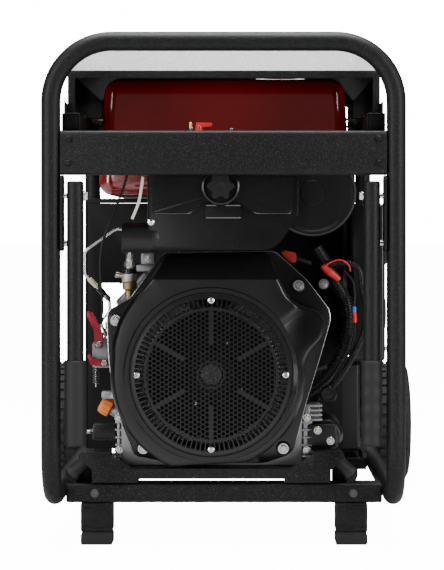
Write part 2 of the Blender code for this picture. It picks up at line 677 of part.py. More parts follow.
def fuel_tank():
    """The tank with its filler neck and the four ears that rest on the upper rails."""
    low = (-TANK_HALF_W, TANK_FRONT, TANK_BOTTOM)
    tank = block("fuel_tank", low, (TANK_HALF_W, TANK_FRONT + TANK_LENGTH, TANK_TOP), RED, TANK_ROUND, 3)
    middle = (TANK_TOP + TANK_BOTTOM) / 2
    for vertex in tank.data.vertices:
        if vertex.co.z > middle:
            vertex.co.x *= TANK_TAPER
    ears = []
    ear_low = CROSSBAR_TOP + UPPER_RAIL_SIZE + 2 * GAP
    for side in (-1, 1):
        for y in (TANK_FRONT + 0.08, TANK_FRONT + TANK_LENGTH - 0.08):
            x = sorted((side * (TANK_HALF_W - 0.03), side * (HOOD_HALF_W - HOOD_SHEET - 0.002)))
            ears.append(block("ear", (x[0], y - 0.015, ear_low), (x[1], y + 0.015, ear_low + 0.003)))
    neck = rod("neck", (CAP_X, CAP_Y, TANK_TOP - 0.01), (CAP_X, CAP_Y, TANK_TOP + CAP_NECK_H), CAP_NECK_R)
    joined(tank, neck, *ears)
    base = Vector((CAP_X, CAP_Y, TANK_TOP + CAP_NECK_H + GAP))
    top = CAP_HEIGHT - 0.004
    profile = [(0, 0), (CAP_R, 0), (CAP_R, top), (CAP_R - 0.006, CAP_HEIGHT), (0, CAP_HEIGHT)]
    origin_to(turned("fuel_cap", base, (0, 0, 1), profile, PLASTIC, 20), base)


def fuel_tap_lever():
    """The tap's lever on its stem through the crossbar's shelf."""
    shelf = CROSSBAR_TOP + GAP
    stem_low = (TAP_X, TAP_Y, shelf - 0.012)
    stem = rod("fuel_tap_lever", stem_low, (TAP_X, TAP_Y, shelf + 0.010), TAP_STEM_R, RED_PLASTIC, 12)
    collar = rod("collar", (TAP_X, TAP_Y, shelf), (TAP_X, TAP_Y, shelf + 0.008), 0.0065, RED_PLASTIC, 10)
    arm_low = (TAP_X - 0.0045, TAP_Y - 0.0042, shelf + 0.0066)
    arm = block("arm", arm_low, (TAP_X + 0.022, TAP_Y + 0.0042, shelf + 0.016))
    origin_to(joined(stem, collar, arm), (TAP_X, TAP_Y, shelf))


# ---------- Air cleaner ----------


def air_outline():
    """The air cleaner's front outline, standing on the shroud, its lower right corner cut off."""
    left, right = KNOB_X - 0.121, KNOB_X + 0.127
    low, high = KNOB_Z - 0.1062, KNOB_Z + 0.035
    return [(left, low), (right - 0.037, low), (right, low + 0.053), (right, high), (left, high)]


def air_cleaner():
    split = AIRBOX_FRONT + COVER_DEPTH
    back = AIRBOX_FRONT + COVER_DEPTH + HOUSING_DEPTH
    outline = air_outline()
    inner = grown(outline, -AIRBOX_WALL)
    body = prism("air_cleaner_body", outline, "XZ", split + GAP, back, PLASTIC)
    drum_back = (CANISTER_X, back - 0.002, CANISTER_Z)
    drum = rod("drum", (CANISTER_X, split, CANISTER_Z), drum_back, CANISTER_R, PLASTIC, 32)
    joined(body, drum)
    cut(body, prism("hollow", inner, "XZ", split - 0.01, back - AIRBOX_WALL))
    pipe_y, pipe_z = AIRBOX_FRONT + COVER_DEPTH / 2, KNOB_Z - PIPE_DROP
    pipe_end, wall_x = KNOB_X - PIPE_REACH, KNOB_X - 0.121
    pipe = rod("pipe", (pipe_end, pipe_y, pipe_z), (wall_x + 0.0093, pipe_y, pipe_z), PIPE_R, PLASTIC, 20)
    bore = rod("bore", (pipe_end - 0.01, pipe_y, pipe_z), (wall_x + 0.0052, pipe_y, pipe_z), PIPE_R - 0.003, PLASTIC, 20)
    cover = prism("air_cleaner_cover", outline, "XZ", AIRBOX_FRONT, split, PLASTIC)
    boss_front = (KNOB_X, AIRBOX_FRONT - 0.006, KNOB_Z)
    boss = rod("boss", boss_front, (KNOB_X, AIRBOX_FRONT + 0.01, KNOB_Z), KNOB_R + 0.006)
    joined(cover, boss, pipe)
    cover_hollow = prism("hollow", inner, "XZ", AIRBOX_FRONT + 0.008, split + 0.01)
    hole_front = (KNOB_X, AIRBOX_FRONT - 0.02, KNOB_Z)
    stem_hole = rod("hole", hole_front, (KNOB_X, AIRBOX_FRONT + 0.02, KNOB_Z), 0.0048)
    cut(cover, cover_hollow, stem_hole, bore)
    element = grown(outline, -0.012)
    prism("air_filter_element", element, "XZ", split - 0.030, split + 0.045, PAPER)
    face = AIRBOX_FRONT - 0.006 - GAP
    star = []
    for i in range(24):
        size = KNOB_R - 0.0035 * (1 - cos(6 * 2 * pi * i / 24)) / 2
        star.append((KNOB_X + size * cos(2 * pi * i / 24), KNOB_Z + size * sin(2 * pi * i / 24)))
    knob = prism("air_cleaner_knob", star, "XZ", face - 0.008, face, PLASTIC)
    stem_back = (KNOB_X, AIRBOX_FRONT + 0.012, KNOB_Z)
    stem = rod("stem", (KNOB_X, face - 0.002, KNOB_Z), stem_back, 0.004, PLASTIC, 12)
    origin_to(joined(knob, stem), (KNOB_X, face, KNOB_Z))


# ---------- Engine ----------


def from_crank(points):
    """Points given as X and Z from the crankshaft's centre, in millimetres, as points in metres."""
    return [(CRANK_X + x / 1000, CRANK_Z + z / 1000) for x, z in points]


def dome_outline():
    """The fan shroud's dome, anticlockwise from its lowest right corner."""
    low = BEAM_TOP + GAP * 4 - CRANK_Z
    start = -68
    right = arc((0, 0), 160, start, -4, 8)
    bump = [(158, 22), (169, 42), (192, 63), (195, 92), (175, 110), (148, 118), (130, 131), (115, 162)]
    bump.append((97, 206))
    left = [(-78, 202), (-105, 157), (-139, 123), (-157, 92), (-169, 53)]
    lower = arc((0, 0), 171, 172, 246, 8)
    points = right + bump + left + lower
    return [(x, max(z, low * 1000)) for x, z in from_mm(points)]


def from_mm(points):
    """Keeps the drawing's points as they are, dropping any that fall together."""
    kept = []
    for point in points:
        if not kept or (Vector(point) - Vector(kept[-1])).length > 1:
            kept.append(point)
    return kept


def flange_outline():
    """The shroud's mounting flange, anticlockwise from its lower right corner."""
    right = [(131, -142), (142, -130), (162, -52), (186, 27), (204, 90), (202, 107), (164, 158), (108, 208)]
    left = [(-82, 206), (-114, 162), (-140, 127), (-176, 107), (-180, 95), (-177, 27), (-171, -26)]
    return right + left + [(-154, -91), (-132, -143), (-66, -155), (90, -155)]


def fan_shroud():
    """The cooling fan's pressed steel housing: a deep dome on a flange, open at the back, with its inlet hole."""
    front = GRILLE_Y + GRILLE_THICK + GAP
    back = front + SHROUD_DEPTH
    dome = from_crank(dome_outline())
    shroud = prism("fan_shroud", from_crank(flange_outline()), "XZ", back - 0.003, back, SATIN)
    joined(shroud, prism("dome", dome, "XZ", front, back - 0.001))
    hollow = prism("hollow", grown(dome, -SHROUD_SHEET), "XZ", front + SHROUD_SHEET, back + 0.01)
    hole_back = (CRANK_X, front + 0.01, CRANK_Z)
    hole = rod("hole", (CRANK_X, front - 0.01, CRANK_Z), hole_back, SHROUD_HOLE_R, SATIN, 40)
    bolts = []
    for x, z in from_crank([(-164, 89), (148.5, 149), (-117, -130), (122.5, -130)]):
        bolts.append(rod("bolt", (x, back - 0.002, z), (x, back - 0.011, z), 0.0065, STEEL, 6))
    cut(shroud, hollow, hole)
    joined(shroud, *bolts)
    centre = (CRANK_X, GRILLE_Y, CRANK_Z)
    section = [(0, -0.006), (0.112, -0.006), (0.116, 0), (GRILLE_R, 0), (GRILLE_R, GRILLE_THICK)]
    section += [(0.114, GRILLE_THICK), (0.110, -0.004), (0, -0.004)]
    grille = turned("fan_grille", centre, (0, 1, 0), section, SATIN, 40)
    slots = []
    for i in range(12):
        angle = 2 * pi * (i + 0.5) / 12
        slot = block("slot", (-0.003, -0.02, 0.060), (0.003, 0.02, 0.100))
        slot.data.transform(Matrix.Translation(centre) @ Matrix.Rotation(angle, 4, "Y"))
        slots.append(slot)
    cut(grille, *slots)


def crank_train():
    """The fan flywheel, the crankshaft and the alternator's rotor, which turn as one."""
    start = GRILLE_Y + 0.012
    end = ALT_FRONT + ALT_LENGTH + END_COVER_LENGTH - 0.020
    axis = (CRANK_X, MID_Y, CRANK_Z)
    shaft = rod("crankshaft", (CRANK_X, start, CRANK_Z), (CRANK_X, end, CRANK_Z), SHAFT_R, STEEL, 16)
    origin_to(shaft, axis)
    bore = SHAFT_R + GAP
    profile = [(bore, 0.004), (0.040, 0.004), (0.044, 0.020), (0.085, 0.024), (0.090, 0.004)]
    profile += [(FLYWHEEL_R, 0.004), (FLYWHEEL_R, 0.038), (bore, 0.038)]
    fan = turned("flywheel_fan", (CRANK_X, start, CRANK_Z), (0, 1, 0), profile, IRON, 32)
    origin_to(fan, axis)
    low, high = ALT_FRONT + 0.020, ALT_FRONT + ALT_LENGTH - 0.010
    span = high - low
    profile = [(bore, 0), (ROTOR_R, 0), (ROTOR_R, span), (bore, span)]
    origin_to(turned("alternator_rotor", (CRANK_X, low, CRANK_Z), (0, 1, 0), profile, IRON, 32), axis)


def crankcase():
    """The crankcase with its two cylinder decks, the crankshaft's bore and the oil filler's neck."""
    bank = []
    for side in (1, -1):
        lean = radians(BANK_ANGLE)
        deck = Vector((side * DECK_RADIUS * sin(lean), DECK_RADIUS * cos(lean)))
        along = Vector((side * cos(lean), -sin(lean))) * CYLINDER_HALF_W
        edge = [deck + along, deck - along]
        bank.append(edge if side > 0 else edge[::-1])
    low = BEAM_TOP + GAP - CRANK_Z
    outline = [(-CASE_HALF_W, low), (CASE_HALF_W, low), (CASE_HALF_W, 0.030)]
    outline += [tuple(p) for p in bank[0]] + [(0, DECK_RADIUS * 0.63)] + [tuple(p) for p in bank[1]]
    outline += [(-CASE_HALF_W, 0.030)]
    outline = [(CRANK_X + x, CRANK_Z + z) for x, z in outline]
    case = prism("crankcase", outline, "XZ", CASE_FRONT, CASE_BACK, ALUMINIUM)
    neck_y = CASE_FRONT + 0.040
    neck_low = Vector((CRANK_X - CASE_HALF_W + 0.020, neck_y, 0.2015))
    neck_top = Vector((CRANK_X - CASE_HALF_W - 0.020, neck_y, 0.2235))
    neck = rod("neck", neck_low, neck_top, 0.010, ALUMINIUM, 16)
    pan = block("pan", (CRANK_X - CASE_HALF_W - 0.008, CASE_FRONT + 0.004, BEAM_TOP + GAP),
                (CRANK_X + CASE_HALF_W + 0.008, CASE_BACK - 0.004, BEAM_TOP + GAP + 0.010))
    joined(case, neck, pan)
    bore_back = (CRANK_X, CASE_BACK + 0.1, CRANK_Z)
    bore = rod("bore", (CRANK_X, CASE_FRONT - 0.1, CRANK_Z), bore_back, SHAFT_R + BEARING_GAP, STEEL, 24)
    cut(case, bore)
    lean = (neck_top - neck_low).normalized()
    cap_at = neck_top + lean * GAP
    section = [(0, 0), (0.0145, 0), (0.0145, 0.014), (0.011, 0.018), (0, 0.018)]
    cap = turned("oil_cap", cap_at, lean, section, ORANGE, 16)
    origin_to(cap, cap_at)


def cylinder(side, word):
    """One finned barrel with its head and rocker cover, leaning out of the crankcase."""
    y = CYLINDER_Y + side * BANK_STAGGER
    turn = Matrix.Translation((CRANK_X, y, CRANK_Z)) @ Matrix.Rotation(radians(BANK_ANGLE) * side, 4, "Y")
    low = DECK_RADIUS + GAP
    half, deep = CYLINDER_HALF_W, CYLINDER_DEPTH / 2

    def layer(name, inset, bottom, top, finish=None, bevel=0.0):
        return block(name, (inset - half, inset - deep, bottom), (half - inset, deep - inset, top), finish, bevel)

    barrel = layer("cylinder_" + word, 0.008, low, low + CYLINDER_LENGTH, ALUMINIUM)
    pitch = CYLINDER_LENGTH / 4
    fins = [layer("fin", 0, low + pitch * (i + 0.25), low + pitch * (i + 0.55)) for i in range(4)]
    head_low = low + CYLINDER_LENGTH - 0.0005
    head = layer("head", 0.003, head_low, head_low + HEAD_LENGTH)
    cover_low = head_low + HEAD_LENGTH - 0.0005
    cover = layer("cover", 0.012, cover_low, cover_low + ROCKER_COVER_HEIGHT, None, 0.004)
    joined(barrel, head, cover, *fins)
    barrel.data.transform(turn)


def injection():
    """The injector, its pump and the steel pipe between them, with the pump's two levers."""
    x, y, low = INJECTOR_X, INJECTOR_Y, INJECTOR_LOW
    profile = [(0, 0), (0.009, 0), (0.009, 0.012), (0.013, 0.014), (0.013, 0.042), (0.0105, 0.042), (0.0105, 0.054)]
    profile += [(0.0075, 0.054), (0.0075, 0.070), (0, 0.070)]
    made = turned("injector", (x, y, low), (0, 0, 1), profile, STEEL, 16)
    head_y = CYLINDER_Y - BANK_STAGGER - CYLINDER_DEPTH / 2 - GAP
    foot_block = block("foot", (x - 0.006, y, low + 0.010), (x + 0.006, head_y, low + 0.022))
    joined(made, foot_block)
    case_side = CRANK_X - CASE_HALF_W - GAP
    pump = block("injection_pump", (-0.228, y, 0.296), (case_side, y + 0.060, 0.346), ALUMINIUM, 0.004)
    top = rod("top", (-0.200, y + 0.030, 0.340), (-0.200, y + 0.030, 0.362), 0.010, STEEL, 12)
    studs = []
    for px, pz in (LEVER_PIVOT, STOP_PIVOT):
        studs.append(rod("stud", (px, y + 0.01, pz), (px, y - 0.010, pz), 0.003, STEEL, 10))
    joined(pump, top, *studs)
    corners = [(x, y, low + 0.070 + GAP), (x, y, 0.552), (-0.241, y, 0.497), (-0.241, y, 0.458)]
    corners += [(-0.200, y + 0.030, 0.412), (-0.200, y + 0.030, 0.362 + GAP)]
    swept("injection_pipe", bent_path(corners, [0.018, 0.018, 0.012, 0.010], 4), 0.003, STEEL, 8)
    px, pz = LEVER_PIVOT
    front = y - 0.004
    paddle = [(px - 0.007, pz - 0.008), (px + 0.007, pz - 0.008), (px + 0.004, pz + 0.012), (px + 0.002, pz + 0.048)]
    paddle += [(px - 0.022, pz + 0.050), (px - 0.024, pz + 0.020)]
    lever("throttle_lever", paddle, LEVER_PIVOT, front)
    px, pz = STOP_PIVOT
    hook = [(px + 0.006, pz - 0.006), (px + 0.006, pz + 0.006), (px - 0.020, pz + 0.006), (px - 0.026, pz + 0.016)]
    hook += [(px - 0.030, pz + 0.012), (px - 0.024, pz - 0.004), (px - 0.006, pz - 0.006)]
    lever("stop_lever", hook, STOP_PIVOT, front)


def lever(name, outline, pivot, front):
    """A flat lever turning on a stud."""
    made = prism(name, outline, "XZ", front - LEVER_THICK, front, RED_PLASTIC)
    x, z = pivot
    cut(made, rod("hole", (x, front - 0.01, z), (x, front + 0.01, z), 0.0036, STEEL, 12))
    origin_to(made, (x, front, z))


def starter_motor():
    x = CRANK_X + CASE_HALF_W + 0.0095 + 0.032
    profile = [(0, 0), (0.024, 0), (0.030, 0.008), (0.030, 0.120), (0.020, 0.126), (0.020, 0.170), (0, 0.170)]
    made = turned("starter_motor", (x, CASE_FRONT + 0.020, 0.181), (0, 1, 0), profile, SATIN, 20)
    side = CRANK_X + CASE_HALF_W + GAP
    joined(made, block("saddle", (side, CASE_FRONT + 0.05, 0.166), (x, CASE_FRONT + 0.09, 0.196)))


def muffler():
    """The crosswise muffler with an exhaust pipe from each cylinder head and its tail pipe."""
    profile = [(0, 0), (MUFFLER_R - 0.012, 0), (MUFFLER_R, 0.010)]
    profile += [(r, 2 * MUFFLER_HALF_L - h) for r, h in reversed(profile)]
    can = turned("muffler", (-MUFFLER_HALF_L, MUFFLER_Y, MUFFLER_Z), (1, 0, 0), profile, IRON, 24)
    pipes = exhaust_runs("pipe", HEADER_R)
    tail_end = (TAIL_X, MUFFLER_Y + MUFFLER_R + 0.018, MUFFLER_Z)
    tail = rod("tail", (TAIL_X, MUFFLER_Y + 0.04, MUFFLER_Z), tail_end, EXHAUST_R)
    return joined(can, tail, *pipes)


def exhaust_runs(name, radius):
    """A bar along each cylinder's exhaust pipe, from its head to the muffler."""
    reach = DECK_RADIUS + CYLINDER_LENGTH + HEAD_LENGTH / 2
    runs = []
    for side in (-1, 1):
        x, z = CRANK_X + side * reach * sin(pi / 4), CRANK_Z + reach * cos(pi / 4)
        y = CYLINDER_Y + side * BANK_STAGGER + CYLINDER_DEPTH / 2
        runs.append(rod(name, (x, y, z), (x, MUFFLER_Y, MUFFLER_Z), radius, IRON, 12))
    return runs


# ---------- Alternator and electrics ----------


def alternator():
    """The stator housing with the air baffle across its front, and the rear end cover."""
    base = LUG_TOP + REAR_MOUNT_HEIGHT + 2 * GAP
    start = (CRANK_X, ALT_FRONT, CRANK_Z)
    ring = [(ALT_BORE, 0), (ALT_R - 0.006, 0), (ALT_R, 0.006), (ALT_R, ALT_LENGTH), (ALT_BORE, ALT_LENGTH)]
    housing = turned("alternator_housing", start, (0, 1, 0), ring, IRON, 32)
    low = (CRANK_X - 0.060, REAR_CROSS_Y - 0.030, base)
    foot_block = block("foot", low, (CRANK_X + 0.060, REAR_CROSS_Y + 0.030, CRANK_Z - ALT_R + 0.020))
    baffle_y = ALT_FRONT + 0.001
    low = (-(INNER_W - BAFFLE_EDGE), baffle_y, BAFFLE_LOW)
    baffle = block("baffle", low, (BOX_INNER_X - 0.006, baffle_y + BAFFLE_THICK, TANK_BOTTOM - 0.010))
    slot_right = CRANK_X - CASE_HALF_W - 0.004
    slot_low = (slot_right - BAFFLE_SLOT_W, baffle_y - 0.01, BAFFLE_SLOT_LOW)
    slot = block("slot", slot_low, (slot_right, baffle_y + 0.01, BAFFLE_SLOT_TOP))
    cut(baffle, slot, *exhaust_runs("pipe_hole", HEADER_R + 0.005))
    joined(housing, foot_block, baffle)
    inlet = rod("bore", start, (CRANK_X, ALT_FRONT + ALT_LENGTH + 0.01, CRANK_Z), ALT_BORE, IRON, 32)
    cut(housing, inlet)
    start = (CRANK_X, ALT_FRONT + ALT_LENGTH + GAP, CRANK_Z)
    deep, wall = END_COVER_LENGTH, 0.004
    bore = SHAFT_R + BEARING_GAP
    cup = [(ALT_R - wall, 0), (ALT_R, 0), (ALT_R, deep - 0.020), (ALT_R - 0.020, deep), (bore, deep)]
    cup += [(bore, deep - wall), (ALT_R - 0.022, deep - wall), (ALT_R - wall, deep - 0.022)]
    turned("alternator_end_cover", start, (0, 1, 0), cup, ALUMINIUM, 32)


def control_panel():
    """The control box hung from the right upper rail, with its socket, key switch and breaker."""
    outer = BOX_INNER_X + BOX_DEPTH
    back = BOX_FRONT + BOX_LENGTH
    box = block("control_panel", (BOX_INNER_X, BOX_FRONT, BOX_LOW), (outer, back, BOX_TOP), SATIN, 0.004)
    straps = []
    rail_inner = INNER_W - GAP - UPPER_RAIL_SIZE
    for y in (BOX_FRONT + 0.030, back - 0.060):
        low = (rail_inner + STRAP_INSET, y, BOX_TOP - 0.02)
        straps.append(block("strap", low, (rail_inner + STRAP_INSET + 0.004, y + 0.03, CROSSBAR_TOP)))
    joined(box, *straps)
    socket_at = (outer + GAP, BOX_FRONT + 0.130, BOX_LOW + 0.080)
    profile = [(0, 0), (0.034, 0), (0.034, 0.006), (0.027, 0.010), (0.022, 0.010), (0.022, 0.003), (0, 0.003)]
    turned("power_socket", socket_at, (1, 0, 0), profile, PLASTIC, 24)
    key_at = Vector((outer + GAP, BOX_FRONT + 0.400, BOX_LOW + 0.200))
    section = [(0, 0), (0.011, 0), (0.011, 0.006), (0.008, 0.009), (0, 0.009)]
    key = turned("key_switch", key_at, (1, 0, 0), section, STEEL, 16)
    bow = block("bow", key_at + Vector((0.008, -0.002, -0.010)), key_at + Vector((0.014, 0.002, 0.010)))
    origin_to(joined(key, bow), key_at)
    flip_at = Vector((outer + GAP, BOX_FRONT + 0.250, BOX_LOW + 0.200))
    pin_end = flip_at + Vector((0.005, 0.010, 0))
    toggle = rod("breaker_toggle", flip_at + Vector((0.005, -0.010, 0)), pin_end, 0.005, PLASTIC, 16)
    tip = block("tip", flip_at + Vector((0.003, -0.009, 0.001)), flip_at + Vector((0.010, 0.009, 0.012)))
    origin_to(joined(toggle, tip), flip_at + Vector((0.005, 0, 0)))


def battery():
    wide, deep, tall = BATTERY_SIZE
    low = Vector((BATTERY_X - wide / 2, BATTERY_Y - deep / 2, TRAY_TOP + GAP))
    made = block("battery", low, low + Vector(BATTERY_SIZE), PLASTIC, 0.004)
    posts = []
    for side in (-1, 1):
        at = low + Vector((0.025, deep / 2 + side * deep * 0.35, tall - 0.002))
        posts.append(rod("post", at, at + Vector((0, 0, 0.014)), 0.008, STEEL, 12))
    return joined(made, *posts)


def looms():
    """The two corrugated wiring looms on the right, from the control box down to the engine."""
    thick = [(0.160, 0.502), (0.180, 0.470), (0.195, 0.438), (0.211, 0.410), (0.216, 0.374)]
    thick += [(0.209, 0.330), (0.191, 0.295), (0.168, 0.270), (0.142, 0.252)]
    thin = [(0.172, 0.474), (0.188, 0.476), (0.205, 0.477), (0.225, 0.472), (0.235, 0.459), (0.239, 0.433)]
    thin += [(0.246, 0.392), (0.242, 0.358), (0.228, 0.325), (0.205, 0.286), (0.176, 0.252), (0.142, 0.236)]
    runs = (("wiring_loom_thick", thick, LOOM_Y, 0.0115), ("wiring_loom_thin", thin, LOOM_Y - 0.022, 0.0055))
    for name, route, y, radius in runs:
        points = [Vector((x, y, z)) for x, z in route]
        swept(name, smooth(points, 2), radius, PLASTIC, 8)


def smooth(points, steps):
    """A rounded line through the points."""
    made = []
    for i in range(len(points) - 1):
        before, here = points[max(i - 1, 0)], points[i]
        after, beyond = points[i + 1], points[min(i + 2, len(points) - 1)]
        for k in range(steps):
            t = k / steps
            bend = here * 2 + (after - before) * t + (before * 2 - here * 5 + after * 4 - beyond) * t * t
            made.append((bend + (here * 3 - before - after * 3 + beyond) * t ** 3) / 2)
    return made + [points[-1]]


def build():
    for old in list(bpy.data.objects):
        bpy.data.objects.remove(old)
    hoop("front_hoop", FRONT_Y, 1)
    hoop("rear_hoop", REAR_Y, -1)
    front_cross_tube()
    alternator_beam()
    upper_rail("upper_rail_left", -1)
    upper_rail("upper_rail_right", 1)
    front_crossbar()
    crossbar("rear_crossbar", REAR_Y, 1)
    hood()
    engine_beam()
    rubber_mounts()
    axle()
    for side, word in ((-1, "left"), (1, "right")):
        foot(side, word)
        handle_set(side, word)
        wheel(side, word)
        cylinder(side, word)
    fuel_tank()
    fuel_tap_lever()
    air_cleaner()
    fan_shroud()
    crank_train()
    crankcase()
    injection()
    starter_motor()
    muffler()
    alternator()
    control_panel()
    battery()
    looms()


build()
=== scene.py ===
"""The looks of the portable generator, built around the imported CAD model.

Lengths are millimetres in the helpers: x to the right, t backwards from the front hoop's middle, z up.
"""

from math import cos, pi, radians, sin, sqrt

import bmesh
import bpy
from mathutils import Matrix, Vector


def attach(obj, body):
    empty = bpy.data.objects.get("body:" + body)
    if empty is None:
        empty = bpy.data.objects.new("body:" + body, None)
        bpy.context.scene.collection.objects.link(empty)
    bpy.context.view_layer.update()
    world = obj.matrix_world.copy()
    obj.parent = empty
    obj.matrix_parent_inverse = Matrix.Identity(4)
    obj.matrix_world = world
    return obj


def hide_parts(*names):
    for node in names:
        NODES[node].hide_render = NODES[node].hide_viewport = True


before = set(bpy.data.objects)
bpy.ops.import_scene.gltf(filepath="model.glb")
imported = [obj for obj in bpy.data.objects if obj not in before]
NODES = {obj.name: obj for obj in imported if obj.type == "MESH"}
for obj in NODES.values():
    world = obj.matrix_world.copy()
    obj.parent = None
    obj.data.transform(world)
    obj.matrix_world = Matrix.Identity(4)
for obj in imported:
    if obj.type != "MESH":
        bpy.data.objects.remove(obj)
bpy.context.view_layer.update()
HOOP_T = 0.0
FRONT_Y = -509.4
REAR_T = 870.0
TUBE_R = 16
TUBE_X = 284
INNER_X = 267.7
RAIL_Z = 88
HOOP_TOP_Z = 844
HANDLE_X = 243.7
FOOT_X = 216
CRANK = (-21.5, 290.0)
SHARP_ANGLE = 32
FRONTWARD = (0, -1, 0)


def P(x, t, z):
    """A point in metres from millimetres across, back from the front hoop, and up."""
    return Vector((x / 1000, (FRONT_Y + t) / 1000, z / 1000))


# ---------- Finishes ----------


def finish(name, colour, rough, metal=0.0, coat=0.0, grain=700.0, bump=0.1, patch=0.12, specular=0.5,
           fleck=None, fleck_at=0.62, fleck_scale=900.0, coat_rough=0.06):
    """A paint, plastic or metal with uneven tone and sheen, a fine surface grain and, if asked, coloured flecks."""
    made = bpy.data.materials.new(name)
    made.use_nodes = True
    tree = made.node_tree
    shader = tree.nodes["Principled BSDF"]
    shader.inputs["Metallic"].default_value = metal
    shader.inputs["Coat Weight"].default_value = coat
    shader.inputs["Coat Roughness"].default_value = coat_rough
    shader.inputs["Specular IOR Level"].default_value = specular
    where = tree.nodes.new("ShaderNodeTexCoord")
    broad = noise(tree, where, 14.0, 3.0)
    tone = tree.nodes.new("ShaderNodeMix")
    tone.data_type = "RGBA"
    tone.inputs["A"].default_value = (*[c * (1 - patch) for c in colour], 1)
    tone.inputs["B"].default_value = (*[min(1.0, c * (1 + patch)) for c in colour], 1)
    tree.links.new(broad.outputs["Fac"], tone.inputs["Factor"])
    result = tone.outputs["Result"]
    if fleck:
        dots = noise(tree, where, fleck_scale, 1.0)
        pick = tree.nodes.new("ShaderNodeMapRange")
        pick.inputs["From Min"].default_value = fleck_at
        pick.inputs["From Max"].default_value = fleck_at + 0.05
        tree.links.new(dots.outputs["Fac"], pick.inputs["Value"])
        mixed = tree.nodes.new("ShaderNodeMix")
        mixed.data_type = "RGBA"
        mixed.inputs["B"].default_value = (*fleck, 1)
        tree.links.new(pick.outputs["Result"], mixed.inputs["Factor"])
        tree.links.new(result, mixed.inputs["A"])
        result = mixed.outputs["Result"]
    tree.links.new(result, shader.inputs["Base Color"])
    sheen = tree.nodes.new("ShaderNodeMapRange")
    sheen.inputs["To Min"].default_value = max(0.03, rough - 0.06)
    sheen.inputs["To Max"].default_value = min(1.0, rough + 0.06)
    smear = noise(tree, where, 45.0, 4.0)
    tree.links.new(smear.outputs["Fac"], sheen.inputs["Value"])
    tree.links.new(sheen.outputs["Result"], shader.inputs["Roughness"])
    fine = noise(tree, where, grain, 2.0)
    relief = tree.nodes.new("ShaderNodeBump")
    relief.inputs["Strength"].default_value = bump
    relief.inputs["Distance"].default_value = 0.0006
    tree.links.new(fine.outputs["Fac"], relief.inputs["Height"])
    tree.links.new(relief.outputs["Normal"], shader.inputs["Normal"])
    return made


def noise(tree, where, scale, detail):
    """A noise texture in object coordinates."""
    found = tree.nodes.new("ShaderNodeTexNoise")
    found.inputs["Scale"].default_value = scale
    found.inputs["Detail"].default_value = detail
    tree.links.new(where.outputs["Object"], found.inputs["Vector"])
    return found


POWDER = finish("black_powder_coat", (0.0032, 0.0034, 0.0038), 0.50, grain=420, bump=0.45, specular=0.21,
                fleck=(0.050, 0.050, 0.052), fleck_at=0.63, fleck_scale=900)
# The deepest black: real paint on the rails, plugs and housings; on the cooling fan it is painted shade for the dark
# seen through the guard.
DEEP_BLACK = finish("deep_black_paint_and_fan_shade", (0.0025, 0.0025, 0.0027), 0.55, grain=420, bump=0.3, specular=0.18)
# A light grey metal that paints glints: the highlight line on the shroud flange's front rim and the glints on the
# walls of the guard's holes and slots.
GLINT_PAINT = finish("painted_glint_metal", (0.42, 0.43, 0.44), 0.26, metal=1.0, grain=300, bump=0.08)
# A lighter grey for the cover's moulded crease ridges, painting in the highlight they catch.
RIDGE_HIGHLIGHT = finish("ridge_painted_highlight", (0.16, 0.16, 0.165), 0.30, grain=300, bump=0.04, specular=0.9)
KNURL = finish("rough_zinc", (0.50, 0.49, 0.46), 0.42, metal=0.9, grain=900, bump=0.6, patch=0.25)
# A lighter, more flecked copy of the hood's black paint for its upward faces: the fleck texture is real, the lighter
# tone is painted glare.
HOOD_TOP_GLARE = finish("hood_flecks_and_painted_glare", (0.020, 0.020, 0.022), 0.40, grain=380, bump=0.55, specular=1.0,
                    fleck=(0.20, 0.20, 0.21), fleck_at=0.60, fleck_scale=650)
SATIN = finish("satin_shroud_paint", (0.0055, 0.0048, 0.0052), 0.30, grain=260, bump=0.10, specular=0.45)
PLASTIC = finish("moulded_black", (0.006, 0.006, 0.0062), 0.42, grain=900, bump=0.16, specular=0.35)
PLASTIC_SHINE = finish("moulded_black_shiny", (0.005, 0.005, 0.0055), 0.26, grain=300, bump=0.05,
                       specular=0.35)
RUBBER = finish("black_rubber", (0.008, 0.008, 0.008), 0.62, grain=1100, bump=0.25, specular=0.35)
TYRE = finish("tyre_rubber", (0.012, 0.012, 0.012), 0.70, grain=800, bump=0.30, specular=0.4)
RED = finish("red_tank_enamel", (0.17, 0.0014, 0.0020), 0.16, coat=1.0, grain=60, bump=0.02, patch=0.05)
RED_PLASTIC = finish("red_lever", (0.62, 0.018, 0.018), 0.34, grain=500, bump=0.06)
CRIMSON = finish("crimson_lever", (0.26, 0.006, 0.022), 0.34, grain=500, bump=0.06)
RED_BOOT = finish("red_boot", (0.50, 0.012, 0.014), 0.45, grain=500, bump=0.08)
ORANGE = finish("orange_cap", (0.86, 0.20, 0.03), 0.36, grain=500, bump=0.06)
BLUE = finish("blue_sleeve", (0.03, 0.14, 0.55), 0.40, grain=500, bump=0.05)
CREAM = finish("cream_sleeve", (0.72, 0.66, 0.46), 0.45, grain=400, bump=0.08)
CASTING = finish("cast_alloy", (0.34, 0.34, 0.35), 0.50, metal=0.85, grain=520, bump=0.55, patch=0.25)
ZINC = finish("zinc_plate", (0.66, 0.65, 0.62), 0.24, metal=1.0, grain=300, bump=0.05)
CHROME = finish("chrome_plate", (0.78, 0.78, 0.79), 0.10, metal=1.0, grain=200, bump=0.02, patch=0.03)
BRASS = finish("brass", (0.72, 0.50, 0.20), 0.28, metal=1.0, grain=300, bump=0.05)
OLD_BRASS = finish("dull_brass", (0.34, 0.23, 0.13), 0.42, metal=0.8, grain=500, bump=0.2, patch=0.3)
DARK_STEEL = finish("blackened_steel", (0.10, 0.10, 0.105), 0.42, metal=0.9, grain=400, bump=0.20)
IRON = finish("raw_iron", (0.11, 0.11, 0.115), 0.58, metal=0.7, grain=500, bump=0.4, patch=0.25)
